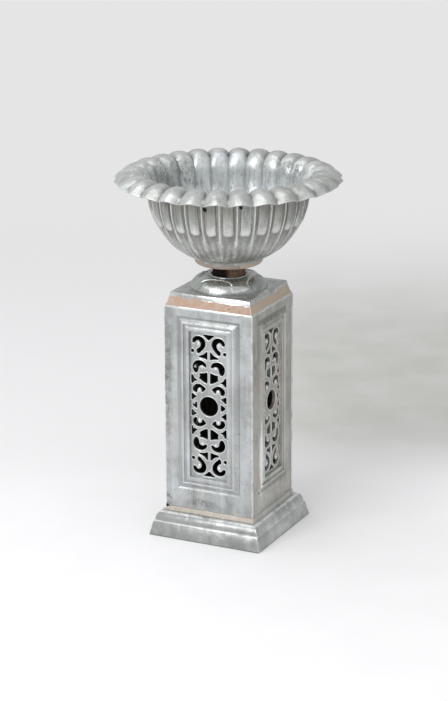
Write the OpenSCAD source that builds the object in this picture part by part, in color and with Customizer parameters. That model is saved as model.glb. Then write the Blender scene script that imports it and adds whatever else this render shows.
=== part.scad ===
// Urn planter: a fluted cast bowl on a low domed foot, on a square pedestal with four openwork panels.
// Millimetres, +Z up. The origin is the centre of the base's underside; the front panel faces -Y.
// The castings stack on one another and one central rod clamps them.

/* [Base] */
// Width of the base at the floor
base_w = 296; // [270:2:320]
// Height of the sloping apron
apron_h = 36; // [20:1:45]
// How far the apron leans in at its top, on each side
apron_lean = 8; // [2:0.5:14]
// Flat step between the apron and the quarter round, on each side
apron_step = 2.5; // [1:0.5:4]
// Height of the quarter round above the apron
ovolo_h = 25; // [14:1:30]
// Height of the fillet between the quarter round and the panels
fillet_h = 12; // [6:1:18]
// Overhang of the quarter round's top past the panels, on each side
ledge_w = 4; // [2:0.5:8]
// Wall thickness of the base casting
base_wall = 10; // [7:0.5:14]
// Thickness of the base's top plate
base_plate_t = 12; // [8:1:16]
// Side of the square opening in the base's top plate
base_window_w = 160; // [110:2:180]

/* [Panels] */
// Width of the shaft
shaft_w = 232; // [212:2:250]
// Height of the panels
shaft_h = 504; // [480:2:560]
// Thickness of a panel's plain edge
panel_t = 8; // [6:0.5:12]
// Width of the plain edge beside the sunk frame, measured from the corner of the shaft
stile_w = 32; // [24:1:36]
// Height of the plain edge above the sunk frame
top_rail_h = 19; // [16:1:34]
// Height of the plain edge below the sunk frame
bottom_rail_h = 48; // [44:1:64]
// Width of the groove round the frame
quirk_w = 4; // [2:0.5:5]
// Depth of the groove round the frame
quirk_d = 3; // [1:0.5:4]
// Width of the frame's outer band
outer_band_w = 13; // [8:0.5:16]
// Width of the frame's inner band
inner_band_w = 18; // [14:0.5:19]
// Height of the frame's inner edge above the plain edge
frame_rise = 4; // [2:0.5:6]
// Depth of the grille's sunk field below the plain edge
field_sink = 5; // [2:0.5:5]
// Width of the flat border between the frame and the grille's holes at the sides
field_border_w = 3; // [2:0.5:5]
// Height of the flat border between the frame and the grille's holes at the top and bottom
field_border_h = 7; // [4:0.5:12]

/* [Grille] */
// Radius of the round hole in the middle of the grille
rosette_r = 24.5; // [18:0.5:25]
// Half width of the upright bar in the middle of the grille
bar_half_w = 3.8; // [3:0.1:5]
// Radius of the centre line of the slots that leave the scrolls standing
scroll_r = 13; // [11:0.1:13.5]
// Width of the slots round the large scrolls
scroll_slot_w = 10; // [7:0.5:11]
// Width of the slots round the small scrolls
small_slot_w = 7.5; // [5:0.5:8]
// How much wider a slot's round ends are than the slot, on each side
slot_bulb = 0.8; // [0.4:0.1:1]
// Radius of the dots in the corners of the grille
dot_r = 2.8; // [2:0.1:3.5]

/* [Corner angles] */
// Leg of an angle iron
angle_leg = 25; // [20:1:30]
// Thickness of an angle iron
angle_t = 3; // [2:0.5:5]
// Distance from an angle iron's ends to the ends of the panels
angle_end_gap = 16; // [12:1:40]
// Radius of the screws' shanks
screw_r = 3; // [2:0.5:3.5]
// Depth of the screw holes in the panels
screw_depth = 5; // [3:0.5:5.5]
// Width across a screw head's corners, for each unit of shank radius
head_corner_ratio = 3.8; // [3.2:0.1:4]
// Height of a screw's head
head_h = 4; // [3:0.5:5]
// Space between a screw's tip and the bottom of its hole
tip_gap = 1; // [0.5:0.5:1.5]
// Number of screws along each leg
screws_per_leg = 3; // [2:1:5]

/* [Cap] */
// Height of the cap's sloping shoulder
shoulder_h = 27; // [18:1:36]
// How far the shoulder leans in, on each side
shoulder_lean = 10; // [5:0.5:16]
// How far the shoulder's middle lies inside a straight slope
shoulder_sag = 1.5; // [0:0.25:3]
// Height of the cap's edge above the shoulder
cap_edge_h = 8; // [5:1:14]
// How far the cap's edge leans in, on each side
cap_edge_lean = 2; // [0:0.5:4]
// How far the cap's top rises from its edge to the foot
crown_h = 1.5; // [0.5:0.5:6]
// Wall thickness of the cap
cap_wall = 7; // [5:0.5:10]

/* [Foot and neck] */
// Radius of the foot
foot_r = 94; // [84:1:97]
// Height of the foot without its ring
foot_h = 26.5; // [22:0.5:34]
// Height of the foot's upright edge
foot_edge_h = 4; // [2:0.5:7]
// Roundness of the foot's dome; 1 is a straight cone
foot_round = 4; // [2:0.1:5]
// Wall thickness of the foot
foot_wall = 5; // [4:0.5:6]
// Radius of the centre line of the foot's ring
ring_r = 45; // [43:0.5:52]
// Radius of the ring's own section
ring_section_r = 3; // [2:0.25:4]
// Outer radius of the neck collar
neck_r = 40; // [34:0.5:40.5]
// Wall thickness of the neck collar
neck_wall = 9; // [6:0.5:12]
// Height of the neck collar
neck_h = 24; // [20:1:36]

/* [Cup] */
// Radius of the cup at its top
cup_r = 84; // [80:1:88]
// Height of the cup
cup_h = 26; // [22:1:34]
// Radius of the cup's flat bottom
cup_bottom_r = 42; // [41:0.5:48]
// Rise of the cup's shallow underside
cup_rise = 10; // [6:0.5:12]
// Radius of the curve between the cup's underside and its side, measured across
cup_round_r = 8; // [5:0.5:12]
// Radius of the cup's hollow at its floor
cup_hollow_r = 60; // [56:1:64]
// Thickness of the cup's floor
cup_floor_t = 10; // [8:1:14]
// Width of the cup's top face under the bowl
cup_seat_w = 14; // [10:1:16]
// Radius of the drain holes
drain_r = 4; // [3:0.5:5]
// Distance of the drain holes from the middle
drain_pitch_r = 50; // [48:0.5:52]

/* [Bowl] */
// Number of flutes
flutes = 28; // [20:4:36]
// Height of the bowl, from its seat to the crest of the rim
bowl_h = 210; // [190:2:240]
// Outer radius of the bowl's wall at its upright part
wall_r = 194; // [180:1:204]
// Height of the wall's curve
wall_curve_h = 160; // [150:1:170]
// How far below the seat the wall's curve would reach its lowest point
wall_dip = 14; // [10:1:20]
// Radius at which the wall's curve would lie flat
wall_flat_r = 20; // [10:1:30]
// Radius of the rim's crest
crest_r = 221; // [215:1:228]
// Radius of the rim's edge at the lobes
rim_r = 273; // [264:1:284]
// Drop from the crest to the edge
rim_drop = 20; // [14:1:28]
// Thickness of the bowl
bowl_t = 5; // [4:0.5:7]
// Thickness at the edge of the rim
rim_t = 3.5; // [3:0.5:5]
// Inner radius of the bowl's flange
flange_r = 64; // [60:1:66]
// Depth of the flutes in the upper wall, from mean to lobe
wall_lobe = 3; // [1:0.5:4]
// Height of the lobes' lower ends above the bowl's seat
lobe_end_h = 80; // [60:2:110]
// Depth of the flutes under the lobes, where the ribs broaden into ridges
lower_flute = 1.5; // [0.5:0.5:2.5]
// Depth of the flutes on the crest, from mean to lobe
crest_lobe = 6; // [2:0.5:7]
// Depth of the flutes at the rim's edge, from mean to lobe
edge_lobe = 3; // [1:0.5:4]

/* [Rod] */
// Radius of the tie rod
rod_r = 6; // [5:0.5:8]
// Clearance round the rod and the screws in their holes
rod_gap = 0.5; // [0.3:0.1:1]
// Clearance in the threads of nuts and screws
thread_gap = 0.05; // [0.02:0.01:0.1]
// Width across a nut's corners, for each unit of rod radius
nut_corner_ratio = 3.5; // [3.2:0.1:3.8]
// Height of a nut
nut_h = 10; // [8:0.5:13]
// Height of the lock nut
locknut_h = 6; // [5:0.5:8]
// Thickness of the washers
washer_t = 3; // [2:0.5:4]
// Radius of the washers
washer_r = 16; // [14:1:20]
// How far the rod stands past its nuts
rod_end = 6; // [3:1:10]
// Thickness of the seal under the top washer
seal_t = 2; // [1:0.5:3]
// Thickness of the bowl's clamp plate
clamp_t = 6; // [5:0.5:8]
// Radius of the bowl's clamp plate
clamp_r = 76; // [72:1:78]
// Width of the bar under the base's top plate
crossbar_w = 40; // [34:1:50]
// Thickness of the bar under the base's top plate
crossbar_t = 8; // [6:0.5:12]
// How far the bar reaches past the base's opening, at each end
crossbar_seat = 20; // [12:1:22]

/* [Locating ribs] */
// Clearance between a locating rib and the panels
rib_gap = 0.5; // [0.3:0.1:1]
// Height of the locating ribs
rib_h = 7; // [4:0.5:9]
// Thickness of the locating ribs
rib_t = 7; // [5:0.5:9]

/* [Hidden] */

$fn = 96;
cut = 1;            // how far a cut reaches past the face that it opens
profile_steps = 8;  // straight steps in a rounded profile
paint = "#b9bcbe";
primer = "#c9a88d";
rust = "#4a3a30";
steel = "#7d8084";
rubber = "#26282a";

// Heights of the joints between the castings
ledge_z = apron_h + ovolo_h;
panel_z = ledge_z + fillet_h;
cap_z = panel_z + shaft_h;
foot_z = cap_z + shoulder_h + cap_edge_h + crown_h;
neck_z = foot_z + foot_h;
cup_z = neck_z + neck_h;
bowl_z = cup_z + cup_h;
crest_z = bowl_z + bowl_h;

// Half widths of the pedestal
base_half = base_w / 2;
apron_half = base_half - apron_lean;
ovolo_half = apron_half - apron_step;
shaft_half = shaft_w / 2;
ledge_half = shaft_half + ledge_w;
inside_half = shaft_half - panel_t;
rib_half = inside_half - rib_gap;

// The screws sit in the middle of the clear part of each angle's leg
screw_in_leg = (angle_leg + angle_t) / 2;
screw_u = inside_half - screw_in_leg;

// Stack on the rod
bar_top_z = panel_z - base_plate_t;
bar_z = bar_top_z - crossbar_t;
bottom_washer_z = bar_z - washer_t;
bottom_nut_z = bottom_washer_z - nut_h;
locknut_z = bottom_nut_z - locknut_h;
rod_z0 = locknut_z - rod_end;
clamp_z = bowl_z + bowl_t;
seal_z = clamp_z + clamp_t;
top_washer_z = seal_z + seal_t;
top_nut_z = top_washer_z + washer_t;
rod_z1 = top_nut_z + nut_h + rod_end;
rod_hole_r = rod_r + rod_gap;

// The panels' raised frame and grille
frame_half = shaft_half - stile_w;
frame_z0 = bottom_rail_h;
frame_z1 = shaft_h - top_rail_h;
frame_w = quirk_w + outer_band_w + inner_band_w;
field_half = frame_half - frame_w;
field_h = frame_z1 - frame_z0 - 2 * frame_w;
grille_half = field_half - field_border_w;
grille_half_h = field_h / 2 - field_border_h;
grille_mid_z = (frame_z0 + frame_z1) / 2;
outer_band_mid = frame_rise * 0.45;
outer_band_top = frame_rise * 0.8;

// Square casting: the same upright profile seen from the front and from the side, so its corners mitre
module mitred(points) {
    reach = base_w;
    intersection() {
        rotate([90, 0, 0]) linear_extrude(reach, center = true) polygon(points);
        rotate([90, 0, 90]) linear_extrude(reach, center = true) polygon(points);
    }
}

// Both sides of a half profile that is listed upwards
function both_sides(half) = concat(half, [for (i = [len(half) - 1 : -1 : 0]) [-half[i][0], half[i][1]]]);

module square_ring(outer_half, wall, z, h) {
    translate([0, 0, z]) linear_extrude(h) difference() {
        square(2 * outer_half, center = true);
        square(2 * (outer_half - wall), center = true);
    }
}

// Quarter round, bulging outwards, from its foot up to its top
function quarter_round(x0, z0, x1, z1, steps) =
    [for (i = [0 : steps]) let (a = 90 * i / steps) [x1 + (x0 - x1) * cos(a), z0 + (z1 - z0) * sin(a)]];

module base_plinth() {
    outside = concat([[base_half, 0], [apron_half, apron_h]],
                     quarter_round(ovolo_half, apron_h, ledge_half, ledge_z, profile_steps),
                     [[shaft_half, panel_z]]);
    inside = [[base_half - base_wall, -cut], [base_half - base_wall, 0], [apron_half - base_wall, apron_h],
              [rib_half, bar_top_z]];
    color(paint) difference() {
        union() {
            mitred(both_sides(outside));
            square_ring(rib_half, rib_t, panel_z - cut, rib_h + cut);
        }
        mitred(both_sides(inside));
        translate([0, 0, panel_z]) cube([base_window_w, base_window_w, 3 * base_plate_t], center = true);
    }
}

module base_crossbar() {
    length = base_window_w + 2 * crossbar_seat;
    color(steel) difference() {
        translate([-length / 2, -crossbar_w / 2, bar_z]) cube([length, crossbar_w, crossbar_t]);
        translate([0, 0, bar_z - cut]) cylinder(r = rod_hole_r, h = crossbar_t + 2 * cut);
    }
}

// Slot that follows an arc, with slightly wider round ends
module arc_slot(r, w, a0, a1) {
    reach = 2 * (r + w);
    mid = (a0 + a1) / 2;
    difference() {
        circle(r + w / 2);
        circle(r - w / 2);
        polygon([[0, 0], reach * [cos(a1), sin(a1)], reach * [cos(mid + 180), sin(mid + 180)],
                 reach * [cos(a0), sin(a0)]]);
    }
    for (a = [a0, a1]) translate(r * [cos(a), sin(a)]) circle(w / 2 + slot_bulb);
}

// Place on the grille, in shares of its half width and half height
function at(u, v) = [u * grille_half, v * grille_half_h];

// Holes in the upper right quarter of the grille, measured from its middle
module grille_holes_quarter() {
    // Slots round the three scrolls, from the top down
    translate(at(0.54, 0.87)) arc_slot(scroll_r, scroll_slot_w, 5, 235);
    translate(at(0.51, 0.53)) arc_slot(scroll_r, scroll_slot_w, -25, 155);
    translate(at(0.53, 0.195)) arc_slot(scroll_r, small_slot_w, 20, 155);
    // Corners beside the upright bar
    bar_u = bar_half_w / grille_half;
    polygon([at(bar_u, 0.77), at(0.46, 0.69), at(bar_u, 0.65)]);
    polygon([at(bar_u, 0.465), at(0.42, 0.44), at(0.51, 0.38), at(bar_u, 0.315)]);
    // Corners along the edge
    polygon([at(0.92, 0.41), at(0.65, 0.345), at(0.92, 0.315)]);
    polygon([at(0.92, 0.15), at(0.65, 0.12), at(0.92, 0.08)]);
    translate(at(0.9, 0.77)) circle(dot_r);
}

module grille_holes() {
    for (mx = [0, 1], my = [0, 1]) mirror([mx, 0]) mirror([0, my]) grille_holes_quarter();
    circle(rosette_r);
    for (mx = [0, 1]) mirror([mx, 0]) polygon([at(0.63, 0.035), at(0.87, 0), at(0.63, -0.035)]);
    for (my = [0, 1]) mirror([0, my]) polygon([at(-0.19, 0.985), at(0.19, 0.985), at(0, 0.935)]);
}

// Rising steps of the frame between two edges, seen in section; y is the height above the plain edge
function frame_section(edge0, edge1) =
    let (left = [[0, -quirk_d], [quirk_w, -quirk_d], [quirk_w, -quirk_d / 2],
                 [quirk_w + outer_band_w / 2, outer_band_mid], [quirk_w + outer_band_w, outer_band_top],
                 [frame_w, frame_rise]])
    concat([[edge0, -panel_t]], [for (p = left) [edge0 + p[0], p[1]]],
           [for (i = [len(left) - 1 : -1 : 0]) [edge1 - left[i][0], left[i][1]]], [[edge1, -panel_t]]);

// Raised frame, still solid in its middle; local x across, local y up the panel, local z outwards
module raised_frame() {
    intersection() {
        translate([0, frame_z0, 0]) rotate([90, 0, 0]) mirror([0, 0, 1])
            linear_extrude(frame_z1 - frame_z0) polygon(frame_section(-frame_half, frame_half));
        translate([-frame_half, 0, 0]) rotate([90, 0, 90])
            linear_extrude(2 * frame_half) polygon(frame_section(frame_z0, frame_z1));
    }
}

// Heights of the panel screws above a panel's foot
function screw_rows() = let (first = angle_end_gap + angle_leg, last = shaft_h - first)
    [for (i = [0 : screws_per_leg - 1]) first + (last - first) * i / (screws_per_leg - 1)];

// One panel, lying with its back down: x across, y up the panel, z = 0 at the plain edge's face
module panel_casting(half_w) {
    difference() {
        union() {
            difference() {
                translate([-half_w, 0, -panel_t]) cube([2 * half_w, shaft_h, panel_t]);
                translate([-frame_half, frame_z0, -panel_t - cut])
                    cube([2 * frame_half, frame_z1 - frame_z0, panel_t + 2 * cut]);
            }
            raised_frame();
        }
        // Sunk field
        translate([-field_half, frame_z0 + frame_w, -field_sink])
            cube([2 * field_half, field_h, field_sink + frame_rise + cut]);
        translate([0, grille_mid_z, -panel_t - cut]) linear_extrude(panel_t + 2 * cut) grille_holes();
        for (x = [-screw_u, screw_u], y = screw_rows())
            translate([x, y, -panel_t - cut]) cylinder(r = screw_r + thread_gap, h = screw_depth + cut);
    }
}

// Stands a panel up on one side of the shaft; turn 0 is the front
module stand_panel(turn) {
    rotate([0, 0, turn]) translate([0, -shaft_half, panel_z]) rotate([90, 0, 0]) children();
}

module front_panel() { color(paint) stand_panel(0) panel_casting(shaft_half); }
module right_panel() { color(paint) stand_panel(90) panel_casting(inside_half); }
module back_panel() { color(paint) stand_panel(180) panel_casting(shaft_half); }
module left_panel() { color(paint) stand_panel(270) panel_casting(inside_half); }

// Angle iron in the front left corner of the shaft; the others are turned copies
module corner_angle(turn) {
    length = shaft_h - 2 * angle_end_gap;
    color(steel) rotate([0, 0, turn]) translate([-inside_half, -inside_half, panel_z + angle_end_gap])
        difference() {
            linear_extrude(length) polygon([[0, 0], [angle_leg, 0], [angle_leg, angle_t], [angle_t, angle_t],
                                            [angle_t, angle_leg], [0, angle_leg]]);
            for (y = screw_rows()) {
                translate([screw_in_leg, -cut, y - angle_end_gap]) rotate([-90, 0, 0])
                    cylinder(r = screw_r + rod_gap, h = angle_t + 2 * cut);
                translate([-cut, screw_in_leg, y - angle_end_gap]) rotate([0, 90, 0])
                    cylinder(r = screw_r + rod_gap, h = angle_t + 2 * cut);
            }
        }
}

module corner_angle_front_left() { corner_angle(0); }
module corner_angle_front_right() { corner_angle(90); }
module corner_angle_back_right() { corner_angle(180); }
module corner_angle_back_left() { corner_angle(270); }

// Hex screw whose head's underside is at the origin; the shank points along -Z
module panel_screw() {
    shank_l = angle_t + screw_depth - tip_gap;
    translate([0, 0, -shank_l]) cylinder(r = screw_r, h = shank_l);
    cylinder(r = screw_r * head_corner_ratio / 2, h = head_h, $fn = 6);
}

module panel_screws() {
    color(steel) for (turn = [0 : 90 : 270], x = [-screw_u, screw_u], y = screw_rows())
        rotate([0, 0, turn]) translate([x, -inside_half + angle_t, panel_z + y]) rotate([-90, 0, 0])
            panel_screw();
}

module cap() {
    edge_half = shaft_half - shoulder_lean;
    shoulder_z = cap_z + shoulder_h;
    edge_z = shoulder_z + cap_edge_h;
    outside = [[shaft_half, cap_z], [(shaft_half + edge_half) / 2 - shoulder_sag, cap_z + shoulder_h / 2],
               [edge_half, shoulder_z], [edge_half - cap_edge_lean, edge_z], [foot_r, foot_z]];
    inside = [[rib_half - rib_t, cap_z - cut], [rib_half - rib_t, cap_z],
              [edge_half - cap_edge_lean - cap_wall, shoulder_z], [foot_r - cap_wall, foot_z - cap_wall]];
    color(primer) difference() {
        union() {
            mitred(both_sides(outside));
            square_ring(rib_half, rib_t, cap_z - rib_h, rib_h + cut);
        }
        mitred(both_sides(inside));
        translate([0, 0, foot_z - 2 * cap_wall]) cylinder(r = rod_hole_r, h = 3 * cap_wall);
    }
}

// Low dome: steep at its edge, flatter towards the ring
function dome_profile(r0, z0, r1, z1, steps) =
    [for (i = [0 : steps]) let (t = 1 - i / steps) [mix(r1, r0, t), mix(z1, z0, pow(t, foot_round))]];

module urn_foot() {
    seat_r = ring_r - ring_section_r;
    color(paint) difference() {
        union() {
            rotate_extrude() polygon(concat([[0, foot_z], [foot_r, foot_z]],
                dome_profile(foot_r, foot_z + foot_edge_h, ring_r, neck_z, profile_steps), [[0, neck_z]]));
            translate([0, 0, neck_z + ring_section_r / 2]) rotate_extrude()
                translate([ring_r, 0]) circle(ring_section_r, $fn = 24);
        }
        // Hollow underneath
        rotate_extrude() polygon(concat([[0, foot_z - cut], [foot_r - foot_wall, foot_z - cut]],
            dome_profile(foot_r - foot_wall, foot_z + foot_edge_h / 2, seat_r, neck_z - foot_wall, profile_steps),
            [[0, neck_z - foot_wall]]));
        translate([0, 0, foot_z]) cylinder(r = rod_hole_r, h = 2 * foot_h);
        // Level seat for the neck collar
        translate([0, 0, neck_z]) cylinder(r = seat_r, h = 2 * ring_section_r);
    }
}

module neck_collar() {
    color(rust) translate([0, 0, neck_z]) difference() {
        cylinder(r = neck_r, h = neck_h);
        translate([0, 0, -cut]) cylinder(r = neck_r - neck_wall, h = neck_h + 2 * cut);
    }
}

module drain_holes(z, h) {
    for (a = [45 : 90 : 315]) rotate([0, 0, a]) translate([drain_pitch_r, 0, z]) cylinder(r = drain_r, h = h);
}

module bowl_cup() {
    shallow_r = cup_r - cup_round_r;
    side_h = cup_h / 2 - cup_rise;
    color(primer) difference() {
        translate([0, 0, cup_z]) rotate_extrude() polygon(concat(
            [[0, 0], [cup_bottom_r, 0]],
            [for (i = [0 : profile_steps]) let (a = 90 * i / profile_steps)
                [shallow_r + cup_round_r * sin(a), cup_rise + side_h * (1 - cos(a))]],
            [[cup_r, cup_h], [0, cup_h]]));
        translate([0, 0, cup_z + cup_floor_t])
            cylinder(r1 = cup_hollow_r, r2 = cup_r - cup_seat_w, h = cup_h - cup_floor_t);
        translate([0, 0, cup_z + cup_h - cut]) cylinder(r = cup_r - cup_seat_w, h = 2 * cut);
        translate([0, 0, cup_z - cut]) cylinder(r = rod_hole_r, h = cup_h);
        drain_holes(cup_z - cut, cup_h);
    }
}

// Middle line of the bowl's shell, from the flange up the wall, over the crest and out to the edge.
// Each entry is radius, height, depth of the flutes and thickness.
wall_steps = 8;
lip_steps = 4;
rim_steps = 4;
facets_per_flute = 4;
mid_wall_r = wall_r - bowl_t / 2 - wall_lobe;
wall_top_z = bowl_z + wall_curve_h;
mid_crest_z = crest_z - bowl_t / 2 - crest_lobe;
mid_flange_z = bowl_z + bowl_t / 2;
wall_h = wall_curve_h + wall_dip;
wall_start = -asin((wall_top_z - mid_flange_z) / wall_h);
mid_rim_r = rim_r - edge_lobe;
rim_end = 32;       // angle on the rim's curve at its edge; 90 is the crest
rim_half_w = (mid_rim_r - crest_r) / cos(rim_end);
rim_half_h = rim_drop / (1 - sin(rim_end));

function on_ellipse(centre, half_w, half_h, a) = [centre[0] + half_w * cos(a), centre[1] + half_h * sin(a)];
function mix(from, to, t) = from + (to - from) * t;
shell = concat(
    [[flange_r, mid_flange_z, 0, bowl_t]],
    [for (i = [0 : wall_steps]) let (t = i / wall_steps,
        p = on_ellipse([wall_flat_r, wall_top_z], mid_wall_r - wall_flat_r, wall_h, mix(wall_start, 0, t)))
        [p[0], p[1], p[1] > bowl_z + lobe_end_h ? wall_lobe : -lower_flute * min(1, 3 * t), bowl_t]],
    [for (i = [1 : lip_steps]) let (t = i / lip_steps,
        p = on_ellipse([crest_r, wall_top_z], crest_r - mid_wall_r, mid_crest_z - wall_top_z,
                       mix(180, 90, t)))
        [p[0], p[1], mix(wall_lobe, crest_lobe, t), bowl_t]],
    [for (i = [1 : rim_steps]) let (t = i / rim_steps,
        p = on_ellipse([crest_r, mid_crest_z - rim_half_h], rim_half_w, rim_half_h, mix(90, rim_end, t)))
        [p[0], p[1], mix(crest_lobe, edge_lobe, t), mix(bowl_t, rim_t, t)]]);
shell_count = len(shell);

// Unit normal on the outer side of the shell at point i; the flange's two points share the flat face's normal
function shell_normal(i) = let (from = i < 2 ? 0 : i - 1, to = i < 2 ? 1 : min(i + 1, shell_count - 1),
        dr = shell[to][0] - shell[from][0], dz = shell[to][1] - shell[from][1])
    [dz, -dr] / norm([dr, dz]);

// Point i of the outer (side 1) or inner (side -1) skin at azimuth a
function skin_point(i, side, a) = let (s = shell[i], n = shell_normal(i),
        d = side * s[3] / 2 + s[2] * cos(flutes * a), r = s[0] + n[0] * d)
    [r * sin(a), -r * cos(a), s[1] + n[1] * d];

module bowl() {
    around = flutes * facets_per_flute;
    loop = 2 * shell_count;
    points = [for (k = [0 : around - 1]) let (a = 360 * k / around) each concat(
        [for (i = [0 : shell_count - 1]) skin_point(i, 1, a)],
        [for (i = [shell_count - 1 : -1 : 0]) skin_point(i, -1, a)])];
    faces = [for (k = [0 : around - 1], i = [0 : loop - 1])
        let (k1 = (k + 1) % around, i1 = (i + 1) % loop,
             a = k * loop + i, b = k1 * loop + i, c = k1 * loop + i1, d = k * loop + i1)
        each [[a, d, c], [a, c, b]]];
    color(paint) polyhedron(points, faces);
}

module bowl_clamp_plate() {
    color(steel) difference() {
        translate([0, 0, clamp_z]) cylinder(r = clamp_r, h = clamp_t);
        translate([0, 0, clamp_z - cut]) cylinder(r = rod_hole_r, h = clamp_t + 2 * cut);
        drain_holes(clamp_z - cut, clamp_t + 2 * cut);
    }
}

module tie_rod() {
    color(steel) translate([0, 0, rod_z0]) cylinder(r = rod_r, h = rod_z1 - rod_z0);
}

module rod_ring(outer_r, inner_r, z, h) {
    translate([0, 0, z]) difference() {
        cylinder(r = outer_r, h = h);
        translate([0, 0, -cut]) cylinder(r = inner_r, h = h + 2 * cut);
    }
}

module rod_nut(z, h) {
    color(steel) translate([0, 0, z]) difference() {
        cylinder(r = rod_r * nut_corner_ratio / 2, h = h, $fn = 6);
        translate([0, 0, -cut]) cylinder(r = rod_r + thread_gap, h = h + 2 * cut);
    }
}

module bottom_washer() { color(steel) rod_ring(washer_r, rod_hole_r, bottom_washer_z, washer_t); }
module bottom_nut() { rod_nut(bottom_nut_z, nut_h); }
module bottom_locknut() { rod_nut(locknut_z, locknut_h); }
module top_seal() { color(rubber) rod_ring(washer_r, rod_hole_r, seal_z, seal_t); }
module top_washer() { color(steel) rod_ring(washer_r, rod_hole_r, top_washer_z, washer_t); }
module top_nut() { rod_nut(top_nut_z, nut_h); }

base_plinth();
front_panel();
right_panel();
back_panel();
left_panel();
corner_angle_front_left();
corner_angle_front_right();
corner_angle_back_right();
corner_angle_back_left();
panel_screws();
cap();
urn_foot();
neck_collar();
bowl_cup();
bowl();
bowl_clamp_plate();
tie_rod();
base_crossbar();
bottom_washer();
bottom_nut();
bottom_locknut();
top_seal();
top_washer();
top_nut();
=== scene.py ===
"""Urn planter: fluted cast bowl on a square pedestal with openwork panels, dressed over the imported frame."""

import math

import bmesh
import bpy
import numpy as np
from bpy.props import FloatProperty, FloatVectorProperty, IntProperty, PointerProperty
from mathutils import Matrix, Vector


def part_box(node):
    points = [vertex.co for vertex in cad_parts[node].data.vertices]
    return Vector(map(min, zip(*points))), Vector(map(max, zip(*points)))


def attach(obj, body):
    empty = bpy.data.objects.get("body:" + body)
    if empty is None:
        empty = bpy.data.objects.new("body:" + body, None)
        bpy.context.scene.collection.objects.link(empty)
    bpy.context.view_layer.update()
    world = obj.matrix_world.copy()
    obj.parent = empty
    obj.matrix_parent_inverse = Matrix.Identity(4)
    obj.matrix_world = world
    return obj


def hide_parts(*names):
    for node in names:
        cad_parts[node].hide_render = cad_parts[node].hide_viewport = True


bl_info = {
    "name": "Urn planter",
    "version": (1, 0, 0),
    "blender": (4, 5, 0),
    "location": "3D View > Sidebar > Planter",
    "description": "Cast urn planter on a square openwork pedestal",
    "category": "Object",
}

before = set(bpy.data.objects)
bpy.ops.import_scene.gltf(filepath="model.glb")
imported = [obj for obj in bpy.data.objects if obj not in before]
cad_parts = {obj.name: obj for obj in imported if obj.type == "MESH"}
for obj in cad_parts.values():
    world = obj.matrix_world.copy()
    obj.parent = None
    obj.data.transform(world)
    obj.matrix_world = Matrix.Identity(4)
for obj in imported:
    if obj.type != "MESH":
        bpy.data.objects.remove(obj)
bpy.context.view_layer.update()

# Places taken from the frame, and the hole for the rod

MM = 0.001
BASE_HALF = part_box("base_plinth")[1].x
PANEL_LOW, PANEL_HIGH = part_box("front_panel")
SHAFT_HALF = PANEL_HIGH.x
PANEL_HEIGHT = PANEL_HIGH.z - PANEL_LOW.z
SIDE_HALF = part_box("right_panel")[1].y - 0.0004
FOOT_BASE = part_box("urn_foot")[0].z
NECK_LOW, NECK_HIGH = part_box("neck_collar")
CUP_LOW, CUP_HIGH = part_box("bowl_cup")
BOWL_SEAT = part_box("bowl")[0].z
ROD_HOLE_R = 0.0065

# The photograph's camera in degrees and metres, its picture in pixels, and a sensor in millimetres

YAW, PITCH, ROLL = 25.92, 16.84, -0.255
CAMERA_DISTANCE = 5.863
CAMERA_TARGET = Vector((0, 0, 0.4897))
PHOTO_W, PHOTO_H = 448, 701
PHOTO_FOCAL = 2428.6
PHOTO_CENTRE_X, PHOTO_CENTRE_Y = 229.11, 334.26
SENSOR = 36
YAW_SIN, YAW_COS = math.sin(math.radians(YAW)), math.cos(math.radians(YAW))


def length(name, description, default):
    return FloatProperty(
        name=name, description=description, default=default, unit="LENGTH", subtype="DISTANCE")


def colour(name, description, default):
    return FloatVectorProperty(name=name, description=description, default=default, subtype="COLOR", size=3)


class PlanterSizes(bpy.types.PropertyGroup):
    """Sizes of the castings' detail"""

    flutes: IntProperty(
        name="Flutes", description="Number of flutes round the bowl", default=28, min=12, max=48)
    lobe_height: length("Lobe height", "How far the upper lobes stand out from the bowl's wall", 4.6 * MM)
    rib_height: length("Rib height", "How far the thin ribs stand out between the lobes", 2.6 * MM)
    lobe_end: length("Lobe end", "Height of the upper lobes' rounded lower ends above the floor", 776 * MM)
    rim_depth: length("Rim scallops", "Depth of the scallops on the rim's crest", 6 * MM)
    bar_round: length("Bar rounding", "Radius of the round edges of the grilles' bars", 1.7 * MM)
    foot_lobes: IntProperty(
        name="Foot lobes", description="Number of relief lobes on the foot", default=4, min=3, max=16)


class PlanterColours(bpy.types.PropertyGroup):
    """Colours of the planter and its setting"""

    silver: colour("Silver paint", "Clean aluminium paint", (0.60, 0.62, 0.62))
    dull: colour("Dull paint", "Aluminium paint where it has dulled", (0.36, 0.37, 0.355))
    primer: colour("Primer", "Salmon primer that shows where the paint is missing", (0.45, 0.295, 0.215))
    floor: colour("Floor", "Pale floor and background", (0.945, 0.94, 0.948))


def sizes():
    return bpy.context.scene.planter_sizes


def colours():
    return bpy.context.scene.planter_colours


# Modelling helpers


def start_clean():
    """Leaves edit mode and deselects everything, so the next operator acts on its own piece only."""
    if bpy.context.object is not None and bpy.context.object.mode != "OBJECT":
        bpy.ops.object.mode_set(mode="OBJECT")
    bpy.ops.object.select_all(action="DESELECT")


def only(piece):
    """Makes this piece the only selected one."""
    start_clean()
    bpy.context.view_layer.objects.active = piece
    piece.select_set(True)


def named(name):
    piece = bpy.context.object
    piece.name = name
    piece.data.name = name
    return piece


def edit(piece):
    only(piece)
    bpy.ops.object.mode_set(mode="EDIT")
    bpy.ops.mesh.select_all(action="DESELECT")


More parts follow.
